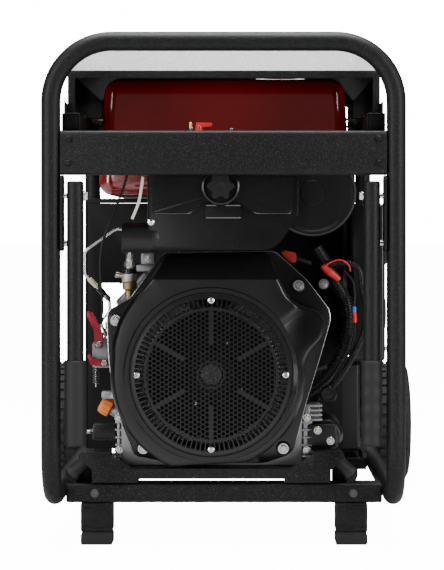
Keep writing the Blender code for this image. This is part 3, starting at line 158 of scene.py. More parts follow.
HEATPROOF = finish("heatproof_coating", (0.16, 0.16, 0.165), 0.62, metal=0.55, grain=600, bump=0.35)
PAPER = finish("filter_paper", (0.72, 0.60, 0.36), 0.85, grain=900, bump=0.4)
HOSE = finish("milky_hose", (0.62, 0.60, 0.52), 0.30, grain=200, bump=0.03)
PANEL_GREY = finish("panel_fascia", (0.055, 0.057, 0.06), 0.40, grain=600, bump=0.15)
WHITE_PLASTIC = finish("white_plastic", (0.80, 0.80, 0.78), 0.40, grain=500, bump=0.05)


# ---------- Shapes ----------


def round_edges(part, edges, size, steps):
    """Rounds edges over, with the size in millimetres."""
    bmesh.ops.bevel(part, geom=edges, offset=size / 1000, segments=steps, affect="EDGES", profile=0.5)


class Piece:
    """One visible piece, gathered from simple solids that may overlap, each with its own finish."""

    def __init__(self, name):
        self.name = name
        self.bm = bmesh.new()
        self.mats = []

    def take(self, part, mat):
        """Adds a closed bmesh in a finish."""
        if mat not in self.mats:
            self.mats.append(mat)
        bmesh.ops.recalc_face_normals(part, faces=part.faces)
        for face in part.faces:
            face.material_index = self.mats.index(mat)
        held = bpy.data.meshes.new("held")
        part.to_mesh(held)
        part.free()
        self.bm.from_mesh(held)
        bpy.data.meshes.remove(held)

    def box(self, low, high, mat, bevel=1.0, steps=2, turn=None):
        low, high = P(*low), P(*high)
        part = bmesh.new()
        place = Matrix.Translation((low + high) / 2) @ Matrix.Diagonal((*(high - low), 1))
        bmesh.ops.create_cube(part, size=1, matrix=place)
        if bevel:
            round_edges(part, part.edges[:], bevel, steps)
        if turn:
            middle = Matrix.Translation((low + high) / 2)
            part.transform(middle @ turn @ middle.inverted())
        self.take(part, mat)

    def lathe(self, at, along, profile, mat, steps=40):
        """A turned solid. The profile goes once round the section, in millimetres: radius, height."""
        part = bmesh.new()
        rings = []
        for radius, height in profile:
            if radius < 1e-6:
                rings.append([part.verts.new((0, 0, height / 1000))])
                continue
            angles = [2 * pi * i / steps for i in range(steps)]
            rings.append([part.verts.new((radius * cos(a) / 1000, radius * sin(a) / 1000,
                                          height / 1000)) for a in angles])
        for low, high in zip(rings, rings[1:] + rings[:1]):
            for i in range(steps):
                j = (i + 1) % steps
                corners = [low[i % len(low)], low[j % len(low)], high[j % len(high)], high[i % len(high)]]
                corners = list(dict.fromkeys(corners))
                if len(corners) > 2:
                    part.faces.new(corners)
        turn = Vector(along).to_track_quat("Z", "Y").to_matrix().to_4x4()
        part.transform(Matrix.Translation(P(*at)) @ turn)
        self.take(part, mat)

    def rod(self, start, end, radius, mat, steps=28, edge=0.6):
        along = P(*end) - P(*start)
        length = along.length * 1000
        edge = min(edge, radius * 0.5, length * 0.4)
        profile = [(0, 0), (radius - edge, 0), (radius, edge), (radius, length - edge),
                   (radius - edge, length), (0, length)]
        self.lathe(start, along, profile, mat, steps)

    def hexagon(self, at, along, across, height, mat):
        """A hex head or nut: across is its corner radius."""
        profile = [(0, 0), (across, 0), (across, height - 0.6), (across - 0.9, height), (0, height)]
        self.lathe(at, along, profile, mat, 6)

    def bolt(self, at, along, head=5.5, washer=8.0, mat=None, height=5.0):
        """A hex bolt head on a washer, standing on the surface at a point."""
        mat = mat or ZINC
        if washer:
            self.lathe(at, along, [(0, -0.5), (washer, -0.5), (washer, 1.0), (washer - 0.4, 1.4), (0, 1.4)],
                       mat, 28)
        lift = Vector(along).normalized() * 1.3
        self.hexagon((at[0] + lift.x, at[1] + lift.y, at[2] + lift.z), along, head, height, mat)

    def sweep(self, points, radius, mat, sides=16):
        """A round bar along points in metres. Radius is one value or one for each point."""
        part = bmesh.new()
        count = len(points)
        sizes = radius if isinstance(radius, list) else [radius] * count
        rings = []
        side = None
        for i, point in enumerate(points):
            ahead = points[min(i + 1, count - 1)] - point
            behind = point - points[max(i - 1, 0)]
            tangent = ((ahead.normalized() if ahead.length else ahead) + (behind.normalized() if behind.length else behind)).normalized()
            side = (side or tangent.orthogonal())
            side = (side - tangent * side.dot(tangent)).normalized()
            other = tangent.cross(side)
            angles = [2 * pi * k / sides for k in range(sides)]
            rings.append([part.verts.new(point + (side * cos(a) + other * sin(a)) * sizes[i] / 1000) for a in angles])
        for low, high in zip(rings, rings[1:]):
            for k in range(sides):
                m = (k + 1) % sides
                part.faces.new((low[k], low[m], high[m], high[k]))
        part.faces.new(rings[0])
        part.faces.new(rings[-1])
        self.take(part, mat)

    def plate(self, outline, low, high, mat, bevel=0.8, steps=2, plane="XZ"):
        """An outline extruded: drawn in XZ and run along t, or drawn in TZ and run along x."""
        put = (lambda a, b, c: P(a, c, b)) if plane == "XZ" else (lambda a, b, c: P(c, a, b))
        part = bmesh.new()
        near = [part.verts.new(put(a, b, low)) for a, b in outline]
        far = [part.verts.new(put(a, b, high)) for a, b in outline]
        caps = [part.faces.new(near), part.faces.new(far)]
        for i in range(len(outline)):
            j = (i + 1) % len(outline)
            part.faces.new((near[i], near[j], far[j], far[i]))
        if bevel:
            rims = [e for cap in caps for e in cap.edges]
            round_edges(part, rims, bevel, steps)
        self.take(part, mat)

    def wire(self, points, pitch, radius, mat, sides=12):
        """A hose or cable through points in millimetres, with its rings an even pitch apart."""
        self.sweep(even(smooth(points), pitch), radius, mat, sides)

    def fixed(self, node):
        """Puts the piece in the scene as part of the machine, in place of one CAD node."""
        return self.done("machine", [node])

    def done(self, body="machine", instead=()):
        """Puts the piece in the scene, riding on a body and standing for CAD nodes."""
        mesh = bpy.data.meshes.new(self.name)
        self.bm.to_mesh(mesh)
        self.bm.free()
        for mat in self.mats:
            mesh.materials.append(mat)
        mesh.shade_smooth()
        mesh.set_sharp_from_angle(angle=radians(SHARP_ANGLE))
        made = bpy.data.objects.new("looks_" + self.name, mesh)
        bpy.context.scene.collection.objects.link(made)
        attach(made, body)
        if instead:
            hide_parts(*instead)
        return made


def bent(corners, bends, steps=14):
    """A line through corners in millimetres, with each inner corner rounded to its bend radius."""
    corners = [P(*c) for c in corners]
    points = [corners[0]]
    for before, corner, after, bend in zip(corners, corners[1:], corners[2:], bends):
        bend = bend / 1000
        into = (corner - before).normalized()
        out = (after - corner).normalized()
        half = into.angle(out) / 2
        setback = bend * sin(half) / cos(half)
        centre = corner - into * setback + (out - into * into.dot(out)).normalized() * bend
        spoke = corner - into * setback - centre
        for i in range(steps + 1):
            points.append(centre + Matrix.Rotation(2 * half * i / steps, 3, into.cross(out)) @ spoke)
    return points + [corners[-1]]


def smooth(points, steps=6):
    """A rounded line through points given in millimetres."""
    points = [P(*p) for p in points]
    made = []
    for i in range(len(points) - 1):
        before, here = points[max(i - 1, 0)], points[i]
        after, beyond = points[i + 1], points[min(i + 2, len(points) - 1)]
        for k in range(steps):
            s = k / steps
            bend = here * 2 + (after - before) * s + (before * 2 - here * 5 + after * 4 - beyond) * s * s
            made.append((bend + (here * 3 - before - after * 3 + beyond) * s ** 3) / 2)
    return made + [points[-1]]


def even(points, pitch):
    """The same line with points an even pitch apart, in millimetres."""
    spans = [(b - a).length * 1000 for a, b in zip(points, points[1:])]
    total = sum(spans)
    count = max(2, round(total / pitch))
    made = []
    for i in range(count + 1):
        left = total * i / count
        k = 0
        while k < len(spans) - 1 and left > spans[k]:
            left -= spans[k]
            k += 1
        made.append(points[k].lerp(points[k + 1], min(1.0, left / spans[k])))
    return made


def arc(x, z, radius, start, end, steps):
    angles = [radians(start + (end - start) * i / steps) for i in range(steps + 1)]
    return [(x + radius * cos(a), z + radius * sin(a)) for a in angles]


def rounded(outline, radius, steps=5):
    """The outline with every corner rounded, radius a number or a list with one for each corner."""
    made = []
    count = len(outline)
    for i in range(count):
        size = radius[i] if isinstance(radius, list) else radius
        here = Vector(outline[i])
        into = (here - Vector(outline[i - 1]))
        out = (Vector(outline[(i + 1) % count]) - here)
        reach = min(size, into.length * 0.48, out.length * 0.48)
        a = here - into.normalized() * reach
        b = here + out.normalized() * reach
        for k in range(steps + 1):
            s = k / steps
            made.append(tuple(a * (1 - s) ** 2 + here * 2 * s * (1 - s) + b * s * s))
    return made


def refined(node, mat, bevel=1.0, body="machine", steps=2, angle=28, other=None, chosen=None):
    """The CAD node's own shape with its edges rounded over, in a finish, and its chosen faces in another."""
    source = NODES[node]
    part = bmesh.new()
    part.from_mesh(source.data)
    part.transform(source.matrix_world)
    bmesh.ops.remove_doubles(part, verts=part.verts, dist=0.00002)
    bmesh.ops.dissolve_limit(part, angle_limit=radians(1), verts=part.verts, edges=part.edges)
    if bevel:
        sharp = [e for e in part.edges if len(e.link_faces) == 2 and e.calc_face_angle(0) > radians(angle)]
        bmesh.ops.bevel(part, geom=sharp, offset=bevel / 1000, segments=steps, affect="EDGES", profile=0.5,
                        clamp_overlap=True)
    piece = Piece(node)
    piece.take(part, mat)
    if other:
        piece.mats.append(other)
        for face in piece.bm.faces:
            face.material_index = int(chosen(face))
    return piece.done(body, [node])


# ---------- Frame ----------


def frame_tubes():
    """The two hoops, the front cross bar and the beam under the alternator."""
    for name, t in (("front_hoop", HOOP_T), ("rear_hoop", REAR_T)):
        side = [(TUBE_X, 435, RAIL_Z), (TUBE_X, t, RAIL_Z), (TUBE_X, t, HOOP_TOP_Z)]
        corners = [(-x, y, z) for x, y, z in side] + side[::-1]
        piece = Piece(name)
        piece.sweep(bent(corners, [80, 100, 100, 80], 20), TUBE_R, POWDER, 40)
        piece.fixed(name)
    bar = Piece("front_cross_tube")
    bar.box((-INNER_X, 91, 72), (INNER_X, 141, 104), POWDER, 3.5, 4)
    for side, x in ((-1, -247.6), (1, 204.6)):
        lug(bar, side, x, 116)
        gusset = [(x + side * 18.4, 100), (x - side * 20.6, 100), (x - side * 20.6, 124.5),
                  (x - side * 0.6, 144.5),
                  (x + side * 18.4, 128)]
        bar.plate(gusset, 131.5, 135.5, POWDER, 0.8)
    for x in (-219, 219):
        bar.bolt((x, 91, 88), FRONTWARD, 5, 7, DARK_STEEL, 4)
    bar.fixed("front_cross_tube")
    beam = Piece("alternator_beam")
    beam.rod((-270, 534, RAIL_Z), (270, 534, RAIL_Z), TUBE_R, POWDER, 40)
    beam.box((-46, 510, 96), (3, 558, 110), POWDER, 1.5)
    beam.box((119.5, 456.5, 101), (258.5, 663.5, 104), POWDER, 1)
    for low in (119.5, 255.5):
        beam.plate([(low, 101), (low + 3, 101), (low + 3, 116.5), (low, 116.5)], 456.5, 663.5, POWDER, 0.5)
    beam.fixed("alternator_beam")


def lug(piece, side, x, t):
    """The slanted plate that a rubber mount stands on."""
    z = 127
    half = 17.3 * sin(pi / 4)
    face_x, face_z = x + side * half, z - half
    wide = 14.5 * sin(pi / 4)
    outline = [(face_x + side * wide, face_z + wide), (face_x - side * wide, face_z - wide),
               (face_x - side * wide, 92), (face_x + side * 2, 92), (face_x + side * wide, face_z + 2)]
    piece.plate(outline, t - 14.5, t + 14.5, POWDER, 1)


def crossbar(name, flip):
    """A bent channel with rounded folds, bolted at both ends."""
    outline = rounded([(56, 697), (-12, 697), (-12, 624), (12, 624), (12, 627), (-9, 627), (-9, 694),
                       (56, 694)],
                      [1, 8, 8, 1, 1, 5, 5, 1], 6)
    if flip:
        outline = [(REAR_T - t, z) for t, z in outline]
    piece = Piece(name)
    piece.plate(outline, -INNER_X, INNER_X, POWDER, 0.4, 1, "TZ")
    for x in (-255, 255):
        for z in (683, 644):
            at = (x, REAR_T + 12, z) if flip else (x, -12, z)
            piece.bolt(at, (0, 1 if flip else -1, 0), 4.6, 6.4, POWDER, 3.4)
    piece.fixed(name)


def hood():
    """The roof, its upward faces in a lighter, more flecked copy of the black paint as painted glare from the light
    above, plain black elsewhere, and the plugs in the rails below it.
    """
    # Faces that point upwards take the lighter copy as painted glare; the rest stays plain black.
    refined("hood", POWDER, 1.2, steps=3, other=HOOD_TOP_GLARE, chosen=lambda f: f.normal.z > 0.3)
    plugs = Piece("rail_plugs")
    for side in (-1, 1):
        refined("upper_rail_" + ("left" if side < 0 else "right"), DEEP_BLACK, 2.0)
        ends = sorted((side * 240.5, side * 264.9))
        for low, high in ((20, 24), (846, 850)):
            plugs.box((ends[0], low, 700), (ends[1], high, 724.6), DEEP_BLACK, 1)
        outer = sorted((side * 262, side * 264.4))
        plugs.box((outer[0], 22, 716), (outer[1], 250, 746), POWDER, 0.6)
    plugs.done()


def feet():
    """The two steel cups and their rubber pads."""
    for side, word in ((-1, "left"), (1, "right")):
        x = side * FOOT_X
        cup = Piece("foot_" + word)
        cup.box((x - 27, 91, 22.3), (x + 27, 141, 71.7), POWDER, 3, 4)
        cup.box((x - 24, 89.6, 30), (x + 24, 92, 64), POWDER, 1, 2)
        cup.fixed("foot_" + word)
        pad = Piece("foot_pad_" + word)
        pad.box((x - 27, 91, 0), (x + 27, 141, 19), RUBBER, 3, 4)
        pad.box((x - 25.5, 92.5, 17), (x + 25.5, 139.5, 22), RUBBER, 1, 2)
        pad.fixed("foot_pad_" + word)


def handles():
    """The folding lift handles, their grips and their brackets."""
    for side, word in ((-1, "left"), (1, "right")):
        x = side * HANDLE_X
        tube = Piece("handle_" + word)
        tube.rod((x, 0, 184.5), (x, 0, 614), 14, POWDER, 36, 2.5)
        tube.done(f"handle_{word}_arm", ["handle_" + word])
        profile = [(0, -5.6), (13, -5.6), (17.2, -3.8), (18.1, -1)]
        for i in range(60):
            z = 2 + i * 130 / 59
            bulge = 1.3 * (0.5 - 0.5 * cos(2 * pi * z / 26.5)) if word == "right" else 0.25 * (z > 118)
            profile.append((18.1 - bulge, z))
        profile += [(18.1, 133.5), (16.8, 135.4), (14.1, 135.4), (14.1, 20), (0, 20)]
        grip = Piece("grip_" + word)
        grip.lathe((x, 0, 184), (0, 0, 1), profile, RUBBER, 40)
        grip.done(f"handle_{word}_arm", ["grip_" + word])
        plate = Piece("handle_bracket_" + word)
        outer, inner = side * 267.7, side * 263.7
        low, high = min(outer, inner), max(outer, inner)
        outline = rounded([(-14, 499), (26, 499), (26, 623.4), (-14, 623.4)], 9, 6)
        plate.plate(outline, low, high, POWDER, 0.6, 2, "TZ")
        plate.rod((inner, 0, 590), (side * 226, 0, 590), 4, ZINC)
        plate.hexagon((side * 228.9, 0, 590), (-side, 0, 0), 7.4, 6, ZINC)
        plate.lathe((side * 229.2, 0, 590), (-side, 0, 0), [(0, 0), (9, 0), (9, 1.2), (0, 1.2)], ZINC, 28)
        plate.rod((inner, 8, 512), (inner - side * 9, 8, 512), 5, ZINC)
        plate.fixed("handle_bracket_" + word)


def wheels():
    """Tyres with raised tread blocks and two grooves, on pressed rims with a hub and wheel nuts."""
    for side, word in ((-1, "left"), (1, "right")):
        x, t, z = side * 343.5, 910, 127
        tyre = Piece("tyre_" + word)
        half = [(73, -30), (80, -33), (92, -36.5), (104, -37.4), (113, -36), (119, -33), (121.5, -29),
                (122.2, -20),
                (122.2, -8)]
        profile = half + [(r, -h) for r, h in reversed(half)]
        tyre.lathe((x, t, z), (1, 0, 0), profile, TYRE, 72)
        for i in range(36):
            angle = 2 * pi * i / 36
            for row, offset, width in ((-1, 0.5, 16), (0, 0.0, 14), (1, 0.5, 16)):
                low = row * 20.5 - width / 2
                a = angle + offset * 2 * pi / 36
                tread_block(tyre, x, t, z, low, low + width, a)
        tyre.done("wheel_" + word, ["tyre_" + word])
        rim = Piece("rim_" + word)
        section = [(10.8, -30), (17, -30), (20, -28), (21, -10), (24, -7.5), (52, -7.5), (58, -10),
                   (63, -24), (67, -28.5),
                   (72.5, -29.5), (73, -27), (69, -24), (67, 0)]
        section += [(69, 24), (73, 27), (72.5, 29.5), (67, 28.5), (63, 24), (58, 10), (52, 7.5), (24, 7.5),
                    (21, 10),
                    (20, 28), (17, 30), (10.8, 30)]
        rim.lathe((x, t, z), (1, 0, 0), section, WHITE_PLASTIC, 64)
        for face in (-1, 1):
            for i in range(5):
                angle = 2 * pi * i / 5
                spot = (x + face * 7.6, t + 38 * cos(angle), z + 38 * sin(angle))
                rim.bolt(spot, (face, 0, 0), 4.6, 6.5, ZINC, 3.6)
        rim.done("wheel_" + word, ["rim_" + word])


def tread_block(piece, x, t, z, low, high, angle):
    part = bmesh.new()
    size = Matrix.Diagonal(((high - low) / 1000, 0.0125, 0.0075, 1))
    lift = Matrix.Translation((0, 0, 0.1226))
    bmesh.ops.create_cube(part, size=1, matrix=lift @ size)
    bmesh.ops.bevel(part, geom=part.edges[:], offset=0.0009, segments=1, affect="EDGES", profile=0.5)
    centre = P(x + (low + high) / 2, t, z)
    part.transform(Matrix.Translation(centre) @ Matrix.Rotation(angle, 4, "X"))
    piece.take(part, TYRE)


# ---------- Fuel ----------


def tank():
    """The tank, narrower at the top, with soft corners, bolted side tabs, a filler neck and an outlet below."""
    part = bmesh.new()
    low, high = P(-220, 160, 593.5), P(220, 560, 797)
    place = Matrix.Translation((low + high) / 2) @ Matrix.Diagonal((*(high - low), 1))
    bmesh.ops.create_cube(part, size=1, matrix=place)
    for vertex in part.verts:
        if vertex.co.z > 0.7:
            vertex.co.x *= 0.945
    bmesh.ops.bevel(part, geom=part.edges[:], offset=0.026, segments=8, affect="EDGES", profile=0.5)
    piece = Piece("fuel_tank")
    piece.take(part, RED)
    for x in (-1, 1):
        for t in (240, 480):
            ends = sorted((x * 196, x * 257))
            piece.box((ends[0], t - 15, 727.7), (ends[1], t + 15, 730.7), RED, 0.8)
            piece.bolt((x * 247, t, 730.5), (0, 0, 1), 5, 8)
    piece.lathe((100, 280, 790), (0, 0, 1), [(0, 0), (30, 0), (30, 9), (24, 12), (24, 25), (0, 25)], RED, 40)
    piece.rod((0, 300, 586), (0, 300, 596), 9, ZINC)
    piece.fixed("fuel_tank")
    cap = Piece("fuel_cap")
    outline = []
    for i in range(96):
        angle = 2 * pi * i / 96
        size = 31.5 - 1.8 * (0.5 + 0.5 * cos(12 * angle))
        outline.append((100 + size * cos(angle), size * sin(angle)))
    part = bmesh.new()
    rings = []
    for scale, z in ((1.0, 815.4), (1.0, 838), (0.97, 842), (0.88, 845), (0.5, 846.5)):
        rings.append([part.verts.new(P(100 + (x - 100) * scale, 280 + y * scale, z)) for x, y in outline])
    for a, b in zip(rings, rings[1:]):
        for i in range(96):
            j = (i + 1) % 96
            part.faces.new((a[i], a[j], b[j], b[i]))
    part.faces.new(rings[0])
    part.faces.new(rings[-1])
    cap.take(part, PLASTIC)
    cap.box((78, 276, 842), (122, 284, 848.5), PLASTIC, 2, 3)
    cap.done("filler_cap", ["fuel_cap"])
    lever = Piece("fuel_tap_lever")
    lever.rod((-41, 40, 685), (-41, 40, 708), 3, RED_PLASTIC)
    lever.rod((-41, 40, 697.6), (-41, 40, 707), 6.2, RED_PLASTIC)
    lever.plate(rounded([(-46.5, 704), (-19, 706), (-19, 712), (-46.5, 713)], 2.5), 35, 45, RED_PLASTIC, 1.5)
    lever.done("tap", ["fuel_tap_lever"])
    bits = Piece("tap_fittings")
    bits.hexagon((-55, 44, 697), (0, 0, 1), 6, 7, ZINC)
    bits.rod((-55, 44, 700), (-55, 44, 713), 3.2, BRASS)
    bits.bolt((13, 40, 697), (0, 0, 1), 5, 7)
    bits.done()


# ---------- Air cleaner ----------

AIR_OUTLINE = [(-126, 500.5), (85, 500.5), (122, 553.3), (122, 641.4), (-126, 641.4)]


def air_cleaner():
    """The air cleaner: cover with inlet pipe, body with canister, and knob."""
    radii = [9, 22, 16, 10, 10]
    cover = Piece("air_cleaner_cover")
    cover.plate(rounded(AIR_OUTLINE, radii, 7), 38, 87.8, PLASTIC_SHINE, 6, 5)
    upper = [(-119, 561), (-56, 561), (-34, 581), (24, 581), (53, 561), (114, 561), (117, 638), (-121, 638)]
    cover.plate(rounded(upper, [4, 9, 9, 9, 9, 6, 8, 8], 6), 30, 50, PLASTIC_SHINE, 4, 5)
    cover.plate(rounded([(-31, 553.6), (29, 553.6), (29, 574.4), (-31, 574.4)], 4, 5), 33, 50, PLASTIC_SHINE,
                2.5, 4)
    # The crease ridges are real moulded shapes; their lighter grey is a painted highlight.
    for route in ([(-114, 561.4), (-57, 561.4), (-36, 580)], [(25, 582), (54, 561.4), (111, 561.4)],
                  [(-29.5, 574.4), (27.5, 574.4)], [(-29.5, 554), (28.5, 554)]):
        depth = 31 if len(route) > 2 else 33.6
        corners = [(x, depth, z) for x, z in route]
        cover.sweep(bent(corners, [8] * (len(corners) - 2), 6), 0.85, RIDGE_HIGHLIGHT, 12)
    ring = [(26.5, -3), (26.5, 4.6), (28.5, 5.6), (31.0, 4.2), (33.5, -3)]
    cover.lathe((-5, 30.5, 606.5), FRONTWARD, ring, PLASTIC_SHINE, 72)
    cover.lathe((-5, 30.5, 606.5), FRONTWARD, [(0, -3), (27, -3), (27, 1.2), (0, 1.2)], DEEP_BLACK, 48)
    for side, edge in ((-1, -126), (1, 122)):
        for i in range(9):
            z = 512 + i * 14.2
            if side > 0 and z < 560:
                continue
            ends = sorted((edge - side * 4, edge + side * 2.4))
            cover.box((ends[0], 58, z), (ends[1], 87.5, z + 4), PLASTIC, 1)
        ends = sorted((edge - side * 2, edge + side * 3.4))
        low = 503 if side < 0 else 558
        cover.box((ends[0], 78, low), (ends[1], 87.5, 640), PLASTIC, 1)
    pipe = [(22, 0), (24.4, 0), (25, 0.8), (25, 46), (24, 58), (20, 64), (0, 64), (0, 40), (22, 40)]
    cover.lathe((-170, 59, 520.5), (1, 0, 0), pipe, PLASTIC, 64)
    cover.lathe((-121, 37.5, 547), FRONTWARD, [(0, 0), (5.5, 0), (5.5, 1.5), (2.6, 3), (1.6, 8), (0, 9)],
                ZINC, 28)
    cover.fixed("air_cleaner_cover")
    body = Piece("air_cleaner_body")
    body.plate(rounded(AIR_OUTLINE, radii, 7), 88.4, 149.5, PLASTIC, 4, 4)
    drum = [(0, 4), (63, 4), (67, 0.5), (72.4, 0.5), (73, 3), (73, 54), (68, 59), (0, 59)]
    body.lathe((150, 88.4, 597), (0, 1, 0), drum, PLASTIC, 80)
    body.lathe((150, 88.4, 597), (0, 1, 0), [(70.6, 0), (73.6, 0), (73.6, 2.4), (70.6, 2.4)], DARK_STEEL, 80)
    body.lathe((150, 88.4, 597), (0, 1, 0), [(0, 2.5), (20, 2.5), (22, 4.5), (0, 5)], PLASTIC, 48)
    body.fixed("air_cleaner_body")
    knob = Piece("air_cleaner_knob")
    star = []
    for i in range(144):
        angle = 2 * pi * i / 144
        size = 19.6 + 3.4 * cos(6 * angle)
        star.append((-5 + size * cos(angle), 606.5 + size * sin(angle)))
    knob.plate(star, 15.9, 23.4, PLASTIC, 2.0, 5)
    knob.lathe((-5, 16.2, 606.5), FRONTWARD, [(0, -1), (9, -1), (7.5, 0.8), (5, 0.4), (0, 0.4)], PLASTIC, 40)
    knob.rod((-5, 20, 606.5), (-5, 40, 606.5), 4, ZINC)
    knob.done("cover_knob", ["air_cleaner_knob"])


# ---------- Fan end ----------


def spoke(radius, angle, t):
    """A point at a radius and an angle from the crankshaft's centre line."""
    return CRANK[0] + radius * cos(angle), t, CRANK[1] + radius * sin(angle)


def around(points):
    """Points given from the crankshaft's centre."""
    return [(CRANK[0] + x, CRANK[1] + z) for x, z in points]


def reach_of(outline, angle):
    """How far the outline is from the crankshaft's centre in a direction."""
    way = Vector((cos(angle), sin(angle)))
    best = 0
    for i in range(len(outline)):
        a = Vector(outline[i - 1]) - Vector(CRANK)
        b = Vector(outline[i]) - Vector(CRANK)
        edge = b - a
        cross = way.x * edge.y - way.y * edge.x
        if abs(cross) < 1e-9:
            continue
        along = (a.x * edge.y - a.y * edge.x) / cross
        share = (a.x * way.y - a.y * way.x) / cross
        if -1e-6 <= share <= 1 + 1e-6 and along > best:
            best = along
    return best


def shroud():
    """The pressed fan housing: a deep dome with a rolled front edge, a sloping top and a bolted flange."""
    right = arc(0, 0, 160, -68, -4, 10)
    bump = [(158, 22), (169, 42), (192, 63), (195, 92), (175, 110), (148, 118), (130, 131), (115, 162),
            (97, 206)]
    left = [(-78, 202), (-105, 157), (-139, 123), (-157, 92), (-169, 53)]
    outline = around(right + bump + left + arc(0, 0, 171, 172, 246, 10))
    outline = rounded([(x, max(z, 131.5)) for x, z in outline], 12, 4)
    count = 240
    angles = [2 * pi * i / count for i in range(count)]
    reach = [reach_of(outline, a) for a in angles]
    part = bmesh.new()

    def ring(size, t):
        points = []
        for angle, far in zip(angles, reach):
            r = size if size > 0 else far + size
            points.append(part.verts.new(P(*spoke(r, angle, t))))
        return points

    rings = [ring(-0.001, 128.5), ring(-0.001, 85)]
    for i in range(1, 7):
        turn = pi / 2 * i / 6
        rings.append(ring(-9.5 * (1 - cos(turn)) - 0.001, 85 - 9.5 * sin(turn)))
    rings += [ring(148, 75.5), ring(146, 73.6), ring(139, 73.6), ring(137, 75.5), ring(128, 75.5),
              ring(127, 77)]
    rings += [ring(127, 79), ring(140, 79), ring(-14, 79), ring(-3, 88), ring(-3, 128.5)]
    for a, b in zip(rings, rings[1:] + rings[:1]):
        for i in range(count):
            j = (i + 1) % count
            part.faces.new((a[i], a[j], b[j], b[i]))
    fold = 0.450
    bmesh.ops.bisect_plane(part, geom=part.verts[:] + part.edges[:] + part.faces[:], plane_co=(0, 0, fold),
                           plane_no=(0, 0, 1), dist=1e-6)
    back = P(0, 126, 0).y
    for vertex in part.verts:
        if vertex.co.z > fold:
            vertex.co.y = min(max(back, vertex.co.y), vertex.co.y + (vertex.co.z - fold) * 0.85)
        swell = vertex.co.x - (CRANK[0] + 142) / 1000
        if swell > 0:
            vertex.co.y = min(max(back, vertex.co.y), vertex.co.y + swell * 0.75)
    piece = Piece("fan_shroud")
    piece.take(part, SATIN)
    flange = [(131, -142), (142, -130), (162, -52), (186, 27), (204, 90), (202, 107), (164, 158), (108, 208),
              (-82, 206), (-114, 162), (-140, 127), (-176, 107), (-180, 95), (-177, 27), (-171, -26), (-154,
                                                                                                       -91),
              (-132, -143), (-66, -155), (90, -155)]
    outline = rounded(around(flange), 9, 5)
    shine = len(piece.bm.faces)
    edge = bmesh.new()
    near = []
    for scale, t in ((1.0, 129.2), (1.0, 126.7), (0.994, 126.1), (0.75, 126.1)):
        near.append([edge.verts.new(P(CRANK[0] + (x - CRANK[0]) * scale, t,
                                      CRANK[1] + (z - CRANK[1]) * scale))
                     for x, z in outline])
    near.append([edge.verts.new(P(CRANK[0] + (x - CRANK[0]) * 0.75, 129.2, CRANK[1] + (z - CRANK[1]) * 0.75))
                 for x, z in outline])
    for a, b in zip(near, near[1:] + near[:1]):
        for i in range(len(outline)):
            j = (i + 1) % len(outline)
            edge.faces.new((a[i], a[j], b[j], b[i]))
    piece.take(edge, SATIN)
    # The thin ring of bevel faces at the flange's front edge takes the light metal as a painted highlight line.
    piece.mats.append(GLINT_PAINT)
    count = len(outline)
    for face in list(piece.bm.faces)[shine + count:shine + 2 * count]:
        face.material_index = 1
    for x, z in around([(-164, 89), (148.5, 149), (-117, -130), (122.5, -130)]):
        piece.lathe((x, 126.4, z), FRONTWARD, [(0, 0), (13, 0), (12, 3), (9.5, 4), (0, 4)], SATIN, 32)
        piece.bolt((x, 122.6, z), FRONTWARD, 6.5, 9.5, ZINC, 5.5)
    piece.fixed("fan_shroud")


def grille():
    """The fan's guard: a disc of round holes with six plain spokes, in a rim of narrow slots."""
    piece = Piece("fan_grille")
    part = bmesh.new()
    pitch = 7.9
    corner = pitch / sqrt(3)
    for i in range(-17, 18):
        for j in range(-16, 17):
            x = i * corner * 1.5
            z = (j + (0.5 if i % 2 else 0)) * pitch
            r = sqrt(x * x + z * z)
            if r > 112.5:
                continue
            on_spoke = abs(x) < 0.5 or abs(abs(z) - abs(x) / sqrt(3)) < 0.5
            corners = [(cos(radians(60 * k)), sin(radians(60 * k))) for k in range(6)]
            outer = [part.verts.new(P(CRANK[0] + x + corner * u, 66, CRANK[1] + z + corner * v)) for u,
                     v in corners]
            if on_spoke and r > 50 or r < 3:
                part.faces.new(outer)
                continue
            hole = [part.verts.new(P(CRANK[0] + x + 3.5 * u, 66, CRANK[1] + z + 3.5 * v)) for u, v in corners]
            for k in range(6):
                m = (k + 1) % 6
                part.faces.new((outer[k], outer[m], hole[m], hole[k]))
    bmesh.ops.remove_doubles(part, verts=part.verts, dist=0.00001)
    thicken(part, 2.4)
    piece.take(part, SATIN)
    rim = bmesh.new()
    count = 96
    radii = [108.5, 113, 116, 129.5, 134.2]
    depths = [65.4, 65.4, 70.8, 70.8, 71.6]
    grid = []
    for r, t in zip(radii, depths):
        row = []
        for i in range(count * 2):
            angle = 2 * pi * (i + 0.25 * (1 if i % 2 else -1)) / (count * 2)
            row.append(rim.verts.new(P(*spoke(r, angle, t))))
        grid.append(row)
    for band in range(4):
        for i in range(count * 2):
            if band == 2 and i % 2 == 0:
                continue
            j = (i + 1) % (count * 2)
            rim.faces.new((grid[band][i], grid[band][j], grid[band + 1][j], grid[band + 1][i]))
    thicken(rim, 2.4)
    piece.take(rim, SATIN)
    # The side walls of the holes and slots take the light metal as painted glints; the front faces stay satin black.
    piece.mats.append(GLINT_PAINT)
    for face in piece.bm.faces:
        face.material_index = int(abs(face.normal.y) < 0.5)
    hub = [(20.6, 0), (21.2, 0.8), (22.8, 0.8), (23.4, 0), (23.4, -0.5), (20.6, -0.5)]
    piece.lathe((CRANK[0], 66, CRANK[1]), FRONTWARD, hub, SATIN, 64)
    for k in range(4):
        angle = pi / 2 * k
        at = spoke(125.5, angle, 71)
        piece.lathe(at, FRONTWARD, [(0, 0), (5.6, 0), (5.2, 2.2), (3, 3.2), (2.6, 1.8), (0, 1.8)], ZINC, 24)
    piece.fixed("fan_grille")


